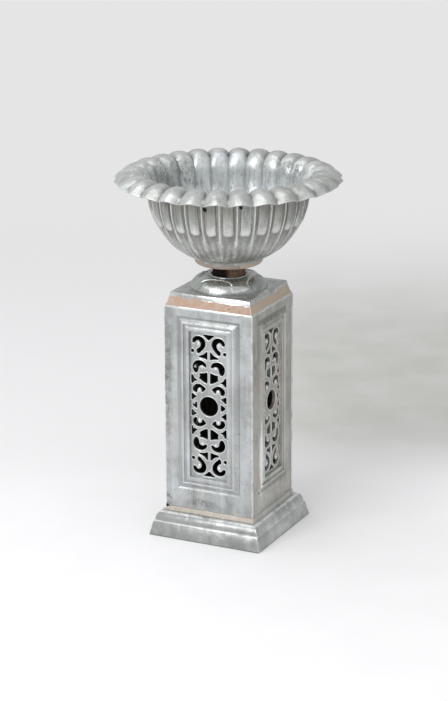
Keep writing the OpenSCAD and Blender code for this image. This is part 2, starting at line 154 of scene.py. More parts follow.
def pick_faces(piece, test):
    """Selects the faces for which test(centre) is true; the piece is in edit mode."""
    mesh = bmesh.from_edit_mesh(piece.data)
    bpy.ops.mesh.select_mode(type="FACE")
    bpy.ops.mesh.select_all(action="DESELECT")
    for face in mesh.faces:
        if test(face.calc_center_median()):
            face.select_set(True)
    mesh.select_flush_mode()
    bmesh.update_edit_mesh(piece.data)


def pick_open_edges():
    """Selects the edges with a face on one side only; the piece is in edit mode."""
    bpy.ops.mesh.select_mode(type="EDGE")
    bpy.ops.mesh.select_all(action="DESELECT")
    bpy.ops.mesh.select_non_manifold(
        use_wire=False, use_multi_face=False, use_non_contiguous=False, use_verts=False)


def tidy_mesh(piece, distance=1e-5):
    """Merges doubles and turns every face outwards."""
    edit(piece)
    bpy.ops.mesh.select_all(action="SELECT")
    bpy.ops.mesh.remove_doubles(threshold=distance)
    bpy.ops.mesh.normals_make_consistent(inside=False)
    bpy.ops.object.mode_set(mode="OBJECT")


def close_ends(piece, distance=1e-5):
    """Bridges the two open rings of a piece, so that it is a closed wall."""
    edit(piece)
    pick_open_edges()
    bpy.ops.mesh.bridge_edge_loops()
    bpy.ops.object.mode_set(mode="OBJECT")
    tidy_mesh(piece, distance)


def smooth(piece, angle=35):
    only(piece)
    bpy.ops.object.shade_smooth_by_angle(angle=math.radians(angle))
    piece.select_set(False)


def bevelled(piece, width, angle):
    """Rounds the edges that are sharper than an angle in degrees."""
    only(piece)
    modifier = piece.modifiers.new("Bevel", "BEVEL")
    modifier.width = width
    modifier.segments = 2
    modifier.limit_method = "ANGLE"
    modifier.angle_limit = math.radians(angle)
    bpy.ops.object.modifier_apply(modifier=modifier.name)


def joined(pieces, name):
    """Joins several meshes into the first one."""
    only(pieces[0])
    for piece in pieces:
        piece.select_set(True)
    bpy.ops.object.join()
    return named(name)


def copied(piece):
    """A copy of the piece with its own mesh."""
    twin = piece.copy()
    twin.data = piece.data.copy()
    bpy.context.scene.collection.objects.link(twin)
    return twin


def placed(piece, matrix):
    """Moves the mesh and leaves its object at the origin."""
    piece.data.transform(matrix)
    piece.data.update()
    return piece


def mounted(piece, node):
    """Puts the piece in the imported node's place."""
    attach(piece, "root")
    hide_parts(node)


def set_shares(piece, sunk, raised):
    """Stores for each point how much dirt and painted shade (sunk) and how much bare paint and painted
    highlight (raised) the materials show, from 0 to 1.
    """
    for name, values in (("sunk", sunk), ("raised", raised)):
        attribute = piece.data.attributes.new(name, "FLOAT", "POINT")
        values = np.broadcast_to(values, len(piece.data.vertices))
        attribute.data.foreach_set("value", values.astype(np.float32))


def spun_profile(name, profile, steps):
    """Draws a profile of (radius, height) points in metres and spins it about the rod's axis."""
    start_clean()
    bpy.ops.mesh.primitive_plane_add(size=0.001, location=(0, 0, 0))
    piece = named(name)
    edit(piece)
    bpy.ops.mesh.select_all(action="SELECT")
    bpy.ops.mesh.merge(type="CENTER")
    r0, z0 = profile[0]
    bpy.ops.transform.translate(value=(r0, 0, z0))
    for (ra, za), (rb, zb) in zip(profile, profile[1:]):
        bpy.ops.mesh.extrude_vertices_move(TRANSFORM_OT_translate={"value": (rb - ra, 0, zb - za)})
    bpy.ops.mesh.select_all(action="SELECT")
    bpy.ops.mesh.spin(steps=steps, angle=2 * math.pi, center=(0, 0, 0), axis=(0, 0, 1))
    bpy.ops.object.mode_set(mode="OBJECT")
    tidy_mesh(piece)
    return piece


def arc_points(centre, radius_x, radius_z, start, end, steps):
    """Points on an arc between two angles in degrees, as (radius, height)."""
    found = []
    for i in range(steps + 1):
        a = math.radians(start + (end - start) * i / steps)
        found.append((centre[0] + radius_x * math.cos(a), centre[1] + radius_z * math.sin(a)))
    return found


def round_the_axis(radius, angle, height):
    """Points at an angle about the rod's axis, which is 0 at the front and grows to the right."""
    return np.stack([radius * np.sin(angle), -radius * np.cos(angle), height], axis=1)


def wrapped_grid(name, rows, columns, place):
    """A grid wrapped round the axis: place(column, row) gives its points and their sunk and raised shares, of
    painted shade with dirt and of painted highlight with bare paint.
    """
    start_clean()
    bpy.ops.mesh.primitive_grid_add(x_subdivisions=columns, y_subdivisions=rows, size=1)
    piece = named(name)
    flat = np.zeros(len(piece.data.vertices) * 3)
    piece.data.vertices.foreach_get("co", flat)
    across, along, _ = flat.reshape(-1, 3).T
    column = np.rint((across + 0.5) * columns).astype(int)
    row = np.rint((along + 0.5) * rows).astype(int)
    points, sunk, raised = place(column, row)
    piece.data.vertices.foreach_set("co", points.astype(np.float32).ravel())
    piece.data.update()
    set_shares(piece, sunk, raised)
    return piece


def side_normals(line):
    """Unit normals of a section line, on the right of the way it runs."""
    tangent = np.gradient(line[:, :2], axis=0)
    tangent /= np.linalg.norm(tangent, axis=1)[:, None]
    return np.stack([tangent[:, 1], -tangent[:, 0]], axis=1)


def smooth_step(x, low, high):
    t = np.clip((x - low) / (high - low), 0.0, 1.0)
    return t * t * (3 - 2 * t)


def peak(x, at, width):
    """Soft hump: 1 where x is at its place, nearly 0 two widths away."""
    return np.exp(-((x - at) / width) ** 2)


def round_arc(x, fullness):
    """Round arch: 1 at x = 0, 0 at x = 1; fullness just over 1 gives sharp valleys between arches."""
    low = math.sqrt(fullness ** 2 - 1)
    return (np.sqrt(fullness ** 2 - np.minimum(np.abs(x), 1.0) ** 2) - low) / (fullness - low)


# Material nodes


class NodeMaker:
    """Adds nodes to a node tree and links them."""

    def __init__(self, tree):
        self.nodes = tree.nodes
        self.links = tree.links

    def node(self, kind, inputs=None, **settings):
        made = self.nodes.new(kind)
        for key, value in settings.items():
            setattr(made, key, value)
        for key, value in (inputs or {}).items():
            self.feed(made.inputs[key], value)
        return made

    def feed(self, socket, value):
        """Links another node's output to the socket, or sets the socket's own value."""
        if isinstance(value, bpy.types.NodeSocket):
            self.links.new(value, socket)
        else:
            socket.default_value = value

    def maths(self, operation, a, b=0.0, c=0.0):
        return self.node("ShaderNodeMath", {0: a, 1: b, 2: c}, operation=operation).outputs[0]

    def times(self, a, b):
        return self.maths("MULTIPLY", a, b)

    def vector(self, operation, a, b=(0, 0, 0)):
        """Vector maths; gives a number for a length, a distance and a dot product."""
        made = self.node("ShaderNodeVectorMath", {0: a, 1: b}, operation=operation)
        return made.outputs["Vector" if operation in ("SUBTRACT", "MULTIPLY", "DIVIDE") else "Value"]

    def step(self, value, low, high, out_low=0.0, out_high=1.0):
        """Smooth step of value between low and high."""
        made = self.node("ShaderNodeMapRange", {
            "Value": value, "From Min": low, "From Max": high, "To Min": out_low, "To Max": out_high},
            interpolation_type="SMOOTHSTEP")
        return made.outputs["Result"]

    def mix(self, share, a, b):
        """Mixes two colours, each another node's output or a plain colour."""
        made = self.node("ShaderNodeMix", {0: share}, data_type="RGBA")
        for socket, value in zip(made.inputs[6:8], (a, b)):
            self.feed(socket, value if isinstance(value, bpy.types.NodeSocket) else (*value, 1.0))
        return made.outputs[2]

    def blend(self, share, a, b):
        """Mixes two numbers."""
        return self.node("ShaderNodeMix", {0: share, 2: a, 3: b}, data_type="FLOAT").outputs[0]

    def mix_shaders(self, share, a, b, output):
        """Shows shader b where share is 1 and shader a elsewhere."""
        mixed = self.node("ShaderNodeMixShader", {0: share, 1: a.outputs[0], 2: b.outputs[0]})
        self.links.new(mixed.outputs[0], self.nodes[output].inputs["Surface"])

    def seen_by_camera(self):
        return self.node("ShaderNodeLightPath").outputs["Is Camera Ray"]


class Paint(NodeMaker):
    """Builds one material; every pattern is placed by the object's own coordinates."""

    def __init__(self, name):
        self.material = bpy.data.materials.new(name)
        self.material.use_nodes = True
        super().__init__(self.material.node_tree)
        self.shader = self.nodes["Principled BSDF"]
        self.place = self.node("ShaderNodeTexCoord").outputs["Object"]
        self.axes = self.node("ShaderNodeSeparateXYZ", {"Vector": self.place}).outputs

    def moved(self, stretch, shift):
        mapping = self.node("ShaderNodeMapping", {"Vector": self.place, "Scale": stretch, "Location": shift})
        return mapping.outputs["Vector"]

    def noise(self, scale, detail, rough, stretch=(1, 1, 1), shift=(0, 0, 0), warp=0.0):
        made = self.node("ShaderNodeTexNoise", {
            "Vector": self.moved(stretch, shift), "Scale": scale, "Detail": detail, "Roughness": rough,
            "Distortion": warp})
        return made.outputs["Fac"]

    def cells(self, scale, shift):
        made = self.node("ShaderNodeTexVoronoi", {"Vector": self.moved((1, 1, 1), shift), "Scale": scale})
        return made.outputs["Distance"]

    def bump(self, *layers):
        """Bump layers of (height socket, distance in metres)."""
        normal = None
        for value, distance in layers:
            made = self.node("ShaderNodeBump", {"Height": value, "Distance": distance, "Strength": 1.0})
            if normal is not None:
                self.links.new(normal, made.inputs["Normal"])
            normal = made.outputs["Normal"]
        self.links.new(normal, self.shader.inputs["Normal"])

    def finish(self, shade, rough, metal=0.0):
        self.feed(self.shader.inputs["Base Color"], shade)
        self.feed(self.shader.inputs["Roughness"], rough)
        self.feed(self.shader.inputs["Metallic"], metal)
        return self.material


# Silver paint, its wear, and its painted light and shade

# Light grey of bare paint, and of painted highlights on ribs, arrises, edges and knobs
BARE_AND_HIGHLIGHT = (0.84, 0.855, 0.86)
# Near white of painted highlight patches
PAINTED_HIGHLIGHT = (0.88, 0.895, 0.90)
# Dark grey of dirt, also laid as painted shade in grooves, creases, recesses and along the base's foot
DIRT_AND_SHADE = (0.115, 0.11, 0.095)
PIT = (0.05, 0.046, 0.04)
# Black of painted shade standing for small holes and notches
HOLE_SHADE = (0.004, 0.004, 0.004)
RUSTY_PATCH = (0.47, 0.37, 0.30)
OLD_PRIMER = (0.44, 0.34, 0.27)
SHADED_PRIMER = (0.50, 0.43, 0.32)


class SilverPaint(Paint):
    """Worn aluminium paint over cast iron; each method lays one layer over the coat, some of wear and dirt,
    some of painted light and shade.
    """

    def __init__(self, name, seed, brightness, tint, metal, gloss):
        super().__init__(name)
        self.seed = seed
        self.shift = (seed * 1.7, seed * 2.3, seed * 0.9)
        clouds = self.noise(9, 4, 0.6, shift=self.shift, warp=0.4)
        self.mottle = self.noise(48, 5, 0.62, shift=self.shift, warp=0.6)
        self.runs = self.noise(34, 5, 0.62, stretch=(1, 1, 0.1), shift=self.shift, warp=0.25)
        self.fine = self.noise(150, 4, 0.7, shift=(seed, 9, 2), warp=0.8)
        tone = self.maths("MULTIPLY_ADD", self.mottle, 0.26, self.times(self.runs, 0.4))
        light = self.step(self.maths("MULTIPLY_ADD", clouds, 0.44, tone), 0.40, 0.70)
        dull = tuple(v * brightness * t for v, t in zip(colours().dull, tint))
        silver = tuple(v * brightness * t for v, t in zip(colours().silver, tint))
        self.shade = self.mix(light, dull, silver)
        self.rough = self.blend(light, 0.46 - gloss, 0.30 - gloss)
        self.metal = self.clean_metal = metal
        past_corner = self.maths("SUBTRACT", self.axes["X"], self.maths("ABSOLUTE", self.axes["Y"]))
        self.right = self.step(past_corner, -0.001, 0.001)

    def lay(self, share, shade, rough=None, metal=None):
        """Lays a shade over the coat, with its own roughness and metal where they are given."""
        self.shade = self.mix(share, self.shade, shade)
        if rough is not None:
            self.rough = self.blend(share, self.rough, rough)
        if metal is not None:
            self.metal = self.blend(share, self.metal, metal)

    def ragged_distance(self, centre, reach):
        """Distance from a centre in reaches, made ragged by the mottle."""
        away = self.vector("DIVIDE", self.vector("SUBTRACT", self.place, centre), reach)
        return self.maths("MULTIPLY_ADD", self.mottle, 0.7, self.vector("LENGTH", away))

    def lay_streaks(self, strength):
        """Fine dark and bright runs."""
        runs = self.noise(95, 5, 0.7, stretch=(1, 1, 0.07), shift=self.shift, warp=0.3)
        self.lay(self.times(self.step(runs, 0.50, 0.36), strength), DIRT_AND_SHADE)
        self.lay(self.times(self.step(runs, 0.56, 0.68), strength), BARE_AND_HIGHLIGHT)

    def lay_rust(self, strength):
        """Faint rusty patches."""
        patch = self.noise(20, 5, 0.7, stretch=(1, 1, 0.5), shift=(self.seed + 2, 6, 1), warp=1.0)
        self.lay(self.times(self.step(patch, 0.46, 0.66), strength), RUSTY_PATCH)

    def lay_grime(self):
        """Dark grime in thin patches."""
        patch = self.noise(17, 6, 0.72, shift=(self.seed + 5, 3, self.seed), warp=1.2)
        share = self.times(self.step(patch, 0.55, 0.68), self.step(self.fine, 0.42, 0.62))
        self.lay(self.times(share, 0.5), DIRT_AND_SHADE)

    def lay_pits(self):
        """Small casting pits in some places; gives their share."""
        few = self.step(self.noise(30, 3, 0.5, shift=(2, self.seed, 7)), 0.57, 0.64)
        share = self.times(self.step(self.cells(95, shift=(self.seed, 1, 4)), 0.16, 0.09), few)
        self.lay(self.times(share, 0.7), PIT)
        return share

    def share(self, name):
        return self.node("ShaderNodeAttribute", attribute_name=name).outputs["Fac"]

    def lay_relief(self):
        """Dirt and painted shade by the sunk share, bare paint and painted highlights by the raised share,
        that the mesh carries.
        """
        dirt = self.times(self.share("sunk"), self.step(self.mottle, 0.25, 0.6, 0.55, 1.0))
        self.lay(self.times(dirt, 0.72), DIRT_AND_SHADE)
        bare = self.times(self.share("raised"), self.step(self.fine, 0.30, 0.55, 0.35, 1.0))
        self.lay(self.times(bare, 0.75), BARE_AND_HIGHLIGHT)
        self.rough = self.blend(self.times(bare, 0.8), self.rough, 0.26)

    def lay_stains_and_shade(self, stains_and_shade):
        """Darker blots and runs round each centre."""
        blots = self.noise(85, 6, 0.78, stretch=(1, 1, 0.7), shift=(self.seed, 2, 9), warp=1.1)
        drips = self.step(self.runs, 0.52, 0.36, 0.0, 0.7)
        blots = self.maths("MAXIMUM", self.step(blots, 0.47, 0.58), drips)
        for centre, reach in stains_and_shade:
            near = self.times(self.step(self.ragged_distance(centre, reach), 1.5, 0.7), blots)
            self.lay(self.times(near, 0.68), DIRT_AND_SHADE)
            self.rough = self.blend(near, self.rough, 0.55)

    def paint_light_on_right(self, gain):
        # Painted light: the side that faces +X is made brighter by the gain
        self.lay(self.right, self.vector("MULTIPLY", self.shade, (gain,) * 3))

    def show_primer(self, low, high, ragged, shade, solid, right_share):
        """A band of primer between two heights, ragged at its top; paler and greener on the right side."""
        drips = self.noise(46, 5, 0.65, stretch=(1, 1, 0.35), shift=(self.seed, 4, 8), warp=0.6)
        edge = self.maths("ADD", self.axes["Z"], self.maths("MULTIPLY_ADD", drips, 2 * ragged, -ragged))
        above = self.step(self.axes["Z"], low - 0.0006, low + 0.0006)
        under = self.step(edge, high + 0.0012, high - 0.0012)
        worn = self.step(self.noise(60, 5, 0.7, shift=(1, self.seed, 2), warp=0.6), 0.40, 0.53, solid, 1.0)
        side = self.step(self.right, 0, 1, 1.0, right_share)
        shade = self.mix(self.times(self.right, 0.75), shade, SHADED_PRIMER)
        shade = self.mix(self.step(self.mottle, 0.3, 0.7, 0.0, 0.3), shade, OLD_PRIMER)
        self.lay(self.times(self.times(above, under), self.times(worn, side)), shade, rough=0.6, metal=0.0)

    def lay_painted_highlight(self, centre, reach, strength):
        """A painted highlight: a near-white patch with low roughness."""
        near = self.step(self.ragged_distance(centre, reach), 1.3, 1.0, 0.0, strength)
        self.lay(near, PAINTED_HIGHLIGHT, rough=0.24, metal=self.clean_metal)

    def draw_line(self, axis, at, half, shade, strength):
        """A broken line along an arris or a seam, on both sides of the middle."""
        if axis == "XY":
            x, y = (self.maths("ABSOLUTE", self.axes[name]) for name in axis)
            across = self.maths("SUBTRACT", x, y)
        else:
            across = self.maths("ABSOLUTE", self.axes[axis])
        gap = self.maths("ABSOLUTE", self.maths("SUBTRACT", across, at))
        broken = self.step(self.runs if axis == "Z" else self.mottle, 0.34, 0.56, 0.25, 1.0)
        share = self.times(self.step(gap, half, half * 0.35), broken)
        self.lay(self.times(share, strength), shade)

    def paint_hole_shade(self, centre, radius):
        """A round black spot: painted shade standing for a small hole."""
        spot = self.step(self.vector("DISTANCE", self.place, centre), radius, radius * 0.6)
        self.lay(spot, HOLE_SHADE, rough=0.9, metal=0.0)

    def cast_bump(self, pits):
        """The casting's unevenness, from broad swells to fine grain."""
        swell = self.noise(12, 2, 0.5, shift=(self.seed, 5, 1))
        wave = self.noise(34, 2, 0.5, shift=(self.seed, 0, 3))
        grain = self.noise(420, 3, 0.6, shift=self.shift)
        self.bump((swell, 4.0 * MM), (wave, 1.7 * MM), (self.mottle, 0.45 * MM), (grain, 0.09 * MM),
                  (self.times(pits, -1.0), 0.6 * MM))


def silver_paint(name, seed, brightness=1.0, tint=(1.0, 1.0, 1.0), metal=0.55, gloss=0.0, streaks=0.0,
                 warm=0.0, relief=False, stains_and_shade=(), right_painted_light=1.0, bands=(), solid=0.8, right_share=1.0,
                 highlight_patches=(), lines=(), spots=()):
    """Worn aluminium paint over cast iron, by the object's coordinates in metres.

    streaks and warm are the strengths of the fine runs and of the rusty patches.
    stains_and_shade: (centre, reach) of darker blots, some of them painted shade.
    bands: (low, high, ragged edge, shade) of primer; solid is how little it is broken up, and right_share how
    much of it the side that faces +X shows. right_painted_light brightens that side as painted light.
    highlight_patches: (centre, reach, strength) of painted highlights.
    lines: (axis, place, half width, shade, strength), where the axis "XY" stands for the upright corners.
    spots: (centre, radius) of black spots, painted shade of small holes.
    """
    p = SilverPaint(name, seed, brightness, tint, metal, gloss)
    if streaks:
        p.lay_streaks(streaks)
    if warm:
        p.lay_rust(warm)
    p.lay_grime()
    pits = p.lay_pits()
    if relief:
        p.lay_relief()
    if stains_and_shade:
        p.lay_stains_and_shade(stains_and_shade)
    if right_painted_light != 1.0:
        p.paint_light_on_right(right_painted_light)
    for band in bands:
        p.show_primer(*band, solid, right_share)
    for patch in highlight_patches:
        p.lay_painted_highlight(*patch)
    for line in lines:
        p.draw_line(*line)
    for spot in spots:
        p.paint_hole_shade(*spot)
    p.cast_bump(pits)
    return p.finish(p.shade, p.rough, p.metal)


# Other materials


def rusty_iron(name, seed, base, light):
    """Bare iron, rusted and dirty."""
    p = Paint(name)
    patch = p.noise(38, 6, 0.7, shift=(seed, 2, 5), warp=1.0)
    fine = p.noise(300, 4, 0.65, shift=(seed, 6, 1))
    scale = p.cells(160, shift=(seed, 3, 3))
    shade = p.mix(p.step(patch, 0.36, 0.66), base, light)
    shade = p.mix(p.step(fine, 0.5, 0.75, 0.0, 0.5), shade, tuple(v * 1.5 for v in light))
    p.bump((patch, 0.8 * MM), (scale, 0.3 * MM), (fine, 0.15 * MM))
    return p.finish(shade, p.blend(p.step(patch, 0.4, 0.7), 0.62, 0.88))


def neck_iron(name):
    """The collar: black on one side, which is dark iron and partly painted shade, brown primer on the other,
    where the paint missed it.
    """
    p = Paint(name)
    patch = p.noise(42, 6, 0.7, warp=1.0)
    fine = p.noise(260, 4, 0.65)
    side = p.vector("DOT_PRODUCT", p.place, (YAW_COS, YAW_SIN, 0.0))
    brown = p.step(p.maths("MULTIPLY_ADD", patch, 0.02, p.maths("ADD", side, -0.010)), -0.008, 0.004)
    # The black side is partly painted shade
    black = p.mix(p.step(patch, 0.4, 0.65), (0.003, 0.002, 0.0015), (0.012, 0.008, 0.006))
    primer = p.mix(p.step(fine, 0.4, 0.7), (0.10, 0.06, 0.042), (0.26, 0.175, 0.13))
    p.shader.inputs["Specular IOR Level"].default_value = 0.12
    p.bump((patch, 0.8 * MM), (fine, 0.2 * MM))
    return p.finish(p.mix(brown, black, primer), 0.85)


def steel_finish(name, seed):
    """Dull machined steel with a little rust."""
    p = Paint(name)
    scratches = p.noise(900, 3, 0.6, stretch=(1, 1, 0.15), shift=(seed, 0, 0))
    patch = p.noise(60, 5, 0.7, shift=(0, seed, 0), warp=0.8)
    rusted = p.step(patch, 0.52, 0.68)
    shade = p.mix(p.step(scratches, 0.3, 0.7), (0.24, 0.235, 0.23), (0.36, 0.355, 0.35))
    shade = p.mix(rusted, shade, (0.13, 0.062, 0.03))
    p.bump((scratches, 0.05 * MM), (patch, 0.3 * MM))
    return p.finish(shade, p.blend(rusted, 0.42, 0.8), p.blend(rusted, 0.85, 0.1))


def rubber_finish(name):
    p = Paint(name)
    fine = p.noise(500, 3, 0.6)
    patch = p.noise(70, 4, 0.6)
    shade = p.mix(p.step(patch, 0.35, 0.65), (0.018, 0.018, 0.019), (0.04, 0.039, 0.038))
    p.bump((fine, 0.08 * MM))
    return p.finish(shade, 0.75)


def dress(piece, *materials):
    piece.data.materials.clear()
    for material in materials:
        piece.data.materials.append(material)


# Bowl

SKIN = 0.005
EDGE_SKIN = 0.0035
FLANGE_R, FLANGE_END_R = 0.064, 0.076
# The wall is an arc that would lie flat at WALL_FLAT_R, WALL_CURVE_H below its top
WALL_R = 0.1885
WALL_TOP = BOWL_SEAT + 0.160
WALL_FLAT_R = 0.020
WALL_CURVE_H = 0.174
LIP_H = 0.04147
CREST_R = 0.221
RIM_R = 0.2674
RIM_DROP = 0.020
RIM_END_DEGREES = 32
RIM_FADE_R = 0.270
# Columns from the middle of a lobe to the rib, in flute widths, closer together at the lobe's side
HALF_FLUTE = (0.0, 0.09, 0.18, 0.245, 0.28, 0.3, 0.318, 0.34, 0.37, 0.41, 0.445, 0.475, 0.5)
LOBE_HALF = 0.315
LOBE_END_SQUEEZE = 0.8
RIB_HALF_W = 0.0027
RIM_NOTCH = 0.0038


def bowl_middle_line():
    """Middle line of the shell from the flange to the edge: rows of (radius, height, share of the rim)."""
    flange_z = BOWL_SEAT + SKIN / 2
    start = -math.degrees(math.asin((WALL_TOP - flange_z) / WALL_CURVE_H))
    wall = arc_points((WALL_FLAT_R, WALL_TOP), WALL_R - WALL_FLAT_R, WALL_CURVE_H, start, 0, 46)
    lip = arc_points((CREST_R, WALL_TOP), CREST_R - WALL_R, LIP_H, 180, 90, 12)[1:]
    half_w = (RIM_R - CREST_R) / math.cos(math.radians(RIM_END_DEGREES))
    half_h = RIM_DROP / (1 - math.sin(math.radians(RIM_END_DEGREES)))
    rim = arc_points((CREST_R, WALL_TOP + LIP_H - half_h), half_w, half_h, 90, RIM_END_DEGREES, 11)[1:]
    rows = [(FLANGE_R, flange_z, 0.0), (FLANGE_END_R, flange_z, 0.0)] + [(r, z, 0.0) for r, z in wall]
    rows += [(r, z, smooth_step(i / (len(lip) - 1), 0.0, 0.75)) for i, (r, z) in enumerate(lip)]
    rows += [(r, z, 1.0) for r, z in rim]
    return np.array(rows)


def flute_columns(flutes):
    """Places round the bowl in flute widths, once round and back to the first."""
    one = [-u for u in reversed(HALF_FLUTE[1:])] + list(HALF_FLUTE[:-1])
    return np.array([k + u for k in range(flutes) for u in one] + [flutes + one[0]])


class BowlSkin:
    """Relief of the bowl at an array of points: u is 0 in the middle of a lobe and 0.5 on a rib."""

    def __init__(self, u, r, z, rim, outer):
        s = sizes()
        self.r, self.z, self.rim, self.outer = r, z, rim, outer
        pitch = 2 * math.pi * r / s.flutes
        self.from_rib = 0.5 - np.abs(u)
        self.wall = smooth_step(z, BOWL_SEAT + 0.004, BOWL_SEAT + 0.022) * (1 - rim)
        self.above_seat = smooth_step(z, BOWL_SEAT + 0.004, BOWL_SEAT + 0.032)
        # Upper lobes with round lower ends
        half = LOBE_HALF * pitch
        below = np.maximum(s.lobe_end + LOBE_END_SQUEEZE * half - z, 0.0) / LOBE_END_SQUEEZE
        away = np.minimum(np.sqrt((u * pitch) ** 2 + below ** 2) / half, 1.0)
        self.lobe = (1 - away ** 3.2) ** 0.55
        # Thin ribs that broaden into ridges under the lobes, with one more ridge between each two
        self.low = smooth_step(z, s.lobe_end + 0.004, s.lobe_end - 0.036)
        rib_half = RIB_HALF_W + self.low * (0.21 * pitch - RIB_HALF_W)
        self.rib = np.exp(-1.6 * (self.from_rib * pitch / rib_half) ** 2)
        self.mid_ridge = peak(u, 0.0, 0.16) * self.low
        # The rim's scallops meet in creases, which soften towards the edge
        self.crease = round_arc(self.from_rib / 0.5, 1.06)
        self.soft = smooth_step(r, 0.232, 0.262)

    def offset(self):
        """How far the skin lies from the middle line."""
        s = sizes()
        ridge = self.rib * (s.rib_height - self.low * 0.0009) + 0.0013 * self.mid_ridge
        ridge = ridge * self.above_seat
        belly = 0.0012 * smooth_step(self.z, s.lobe_end, BOWL_SEAT + 0.015)
        wall_outer = 0.0004 + s.lobe_height * self.lobe + ridge + belly
        wall_inner = 0.0005 - 0.0060 * round_arc(self.from_rib / 0.5, 1.12)
        to_edge = smooth_step(self.r, CREST_R, RIM_FADE_R)
        wave = 0.5 + 0.5 * np.cos(math.pi * self.from_rib / 0.5)
        arch = self.crease + (0.35 * self.crease + 0.65 * wave - self.crease) * self.soft
        scallop = s.rim_depth * (1 - 0.16 * to_edge) * (1 - 2 * arch)
        half = (SKIN - (SKIN - EDGE_SKIN) * to_edge) / 2
        rim_ridge = 0.6 * ridge * (1 - smooth_step(self.r, 0.215, 0.24))
        plain = 1 - self.wall - self.rim
        outer = self.wall * wall_outer + plain * half + self.rim * (scallop + half + rim_ridge)
        inner = self.wall * wall_inner - plain * half + self.rim * (scallop - half)
        return np.where(self.outer, outer, inner)

    def notch(self):
        """How far the rim's edge is drawn in between the scallops."""
        return RIM_NOTCH * self.rim * (1 - self.crease) * smooth_step(self.r, 0.250, RIM_R)

    def sunk(self):
        """Painted shade, with some dirt, beside the ribs, under the lip and under the rim, in its creases and
        in the inside's grooves.
        """
        off_ribs = 1 - self.rib
        beside_ribs = (1 - np.clip(1.6 * self.lobe, 0, 1)) * off_ribs * self.wall * (0.86 - 0.22 * self.low)
        under_lip = smooth_step(self.z, BOWL_SEAT + 0.098, BOWL_SEAT + 0.170) * off_ribs
        under_lip = under_lip * (1 - smooth_step(self.r, 0.235, 0.25))
        under_rim = self.rim * smooth_step(self.r, 0.236, 0.262)
        inside = 0.45 * (1 - round_arc(self.from_rib / 0.5, 1.1)) ** 1.5 * self.wall
        creases = self.rim * (1 - self.crease) ** 1.4 * (1 - 0.25 * self.soft)
        outside = beside_ribs + 0.8 * under_lip + under_rim
        return np.clip(np.where(self.outer, outside, inside) + creases, 0, 1)

    def raised(self):
        """Bare paint and painted highlights on the ribs, and painted highlights on the lobes' lower ends and
        along the rim's edge.
        """
        ribs = (0.8 * self.rib * (1 - 0.65 * self.low) + 0.4 * self.mid_ridge) * self.wall * self.above_seat
        lobe_ends = 0.7 * peak(self.z, sizes().lobe_end + 0.010, 0.012) * self.lobe
        edge = 0.4 * smooth_step(self.r, RIM_R - 0.0022, RIM_R)
        return np.clip(np.where(self.outer, ribs + lobe_ends, 0.0) + edge, 0, 1)


def place_on_wall(degrees, z, r=0.190):
    a = math.radians(degrees)
    return (r * math.sin(a), -r * math.cos(a), z)


def bowl_materials():
    """Paint of the bowl's outside, and lighter copies of it for the inside and for the rim's top, which are
    painted light.
    """
    outside = silver_paint(
        "Silver_paint_bowl", 1, brightness=0.86, tint=(0.985, 1.0, 0.955), metal=0.68, gloss=0.08,
        streaks=0.5, warm=0.2, relief=True,
        stains_and_shade=(((0.17, 0.06, 0.82), (0.06, 0.12, 0.05)), ((0.0, 0.0, 0.715), (0.12, 0.12, 0.02))),
        # Two black spots under the rim: painted shade of small holes
        spots=((place_on_wall(9.3, 0.8445), 0.0078), (place_on_wall(34.6, 0.8505), 0.0055)))
    # Painted light: a lighter copy of the paint for the inside
    inside = silver_paint(
        "Silver_paint_lit_inside_bowl", 31, brightness=1.34, tint=(0.98, 1.0, 1.02), metal=0.4, gloss=0.05,
        streaks=0.35, warm=0.08, relief=True,
        # The first patch darkens the inside's left wall, which faces away from the lamps: painted shade
        stains_and_shade=(((-0.17, 0.02, 0.85), (0.06, 0.14, 0.06)), ((0.10, 0.16, 0.87), (0.14, 0.05, 0.03))))
    # Painted light: a lighter copy of the paint for the rim's upward faces
    rim = silver_paint(
        "Silver_paint_lit_rim", 33, brightness=1.18, tint=(1.0, 1.0, 0.99), metal=0.72, gloss=0.10,
        streaks=0.15, relief=True)
    return outside, inside, rim


def build_bowl():
    line = bowl_middle_line()
    normal = side_normals(line)
    normal[:3] = (0, -1)  # the flange is level
    # Rows: the outer skin from the flange to the edge, the inner skin back, and the first row again
    count = len(line)
    order = [(i, 1) for i in range(count)] + [(i, -1) for i in reversed(range(count))] + [(0, 1)]
    index, side = np.array(order).T
    places = flute_columns(sizes().flutes)

    def place(column, row):
        i = index[row]
        r, z, rim = line[i].T
        turn = places[column]
        skin = BowlSkin(turn - np.rint(turn), r, z, rim, side[row] > 0)
        offset = skin.offset()
        radius = r + normal[i, 0] * offset - skin.notch()
        angle = 2 * math.pi * turn / sizes().flutes
        return round_the_axis(radius, angle, z + normal[i, 1] * offset), skin.sunk(), skin.raised()

    piece = wrapped_grid("bowl_shell", len(order) - 1, len(places) - 1, place)
    tidy_mesh(piece, 2e-6)
    smooth(piece, 60)
    dress(piece, *bowl_materials())
    # The inside's faces and the rim's upward faces take the lighter copies of the paint, which are painted
    # light
    lit_inside_slot, lit_rim_slot, inside_r = 1, 2, 0.2
    for face in piece.data.polygons:
        across = math.hypot(face.center.x, face.center.y)
        outward = (face.normal.x * face.center.x + face.normal.y * face.center.y) / across
        faces_inside = outward < 0.2 * face.normal.z
        if across < inside_r and faces_inside:
            face.material_index = lit_inside_slot
        elif across >= inside_r and face.normal.z > 0 and face.center.z > WALL_TOP + 0.01:
            face.material_index = lit_rim_slot
    mounted(piece, "bowl")


# Cup, neck and foot


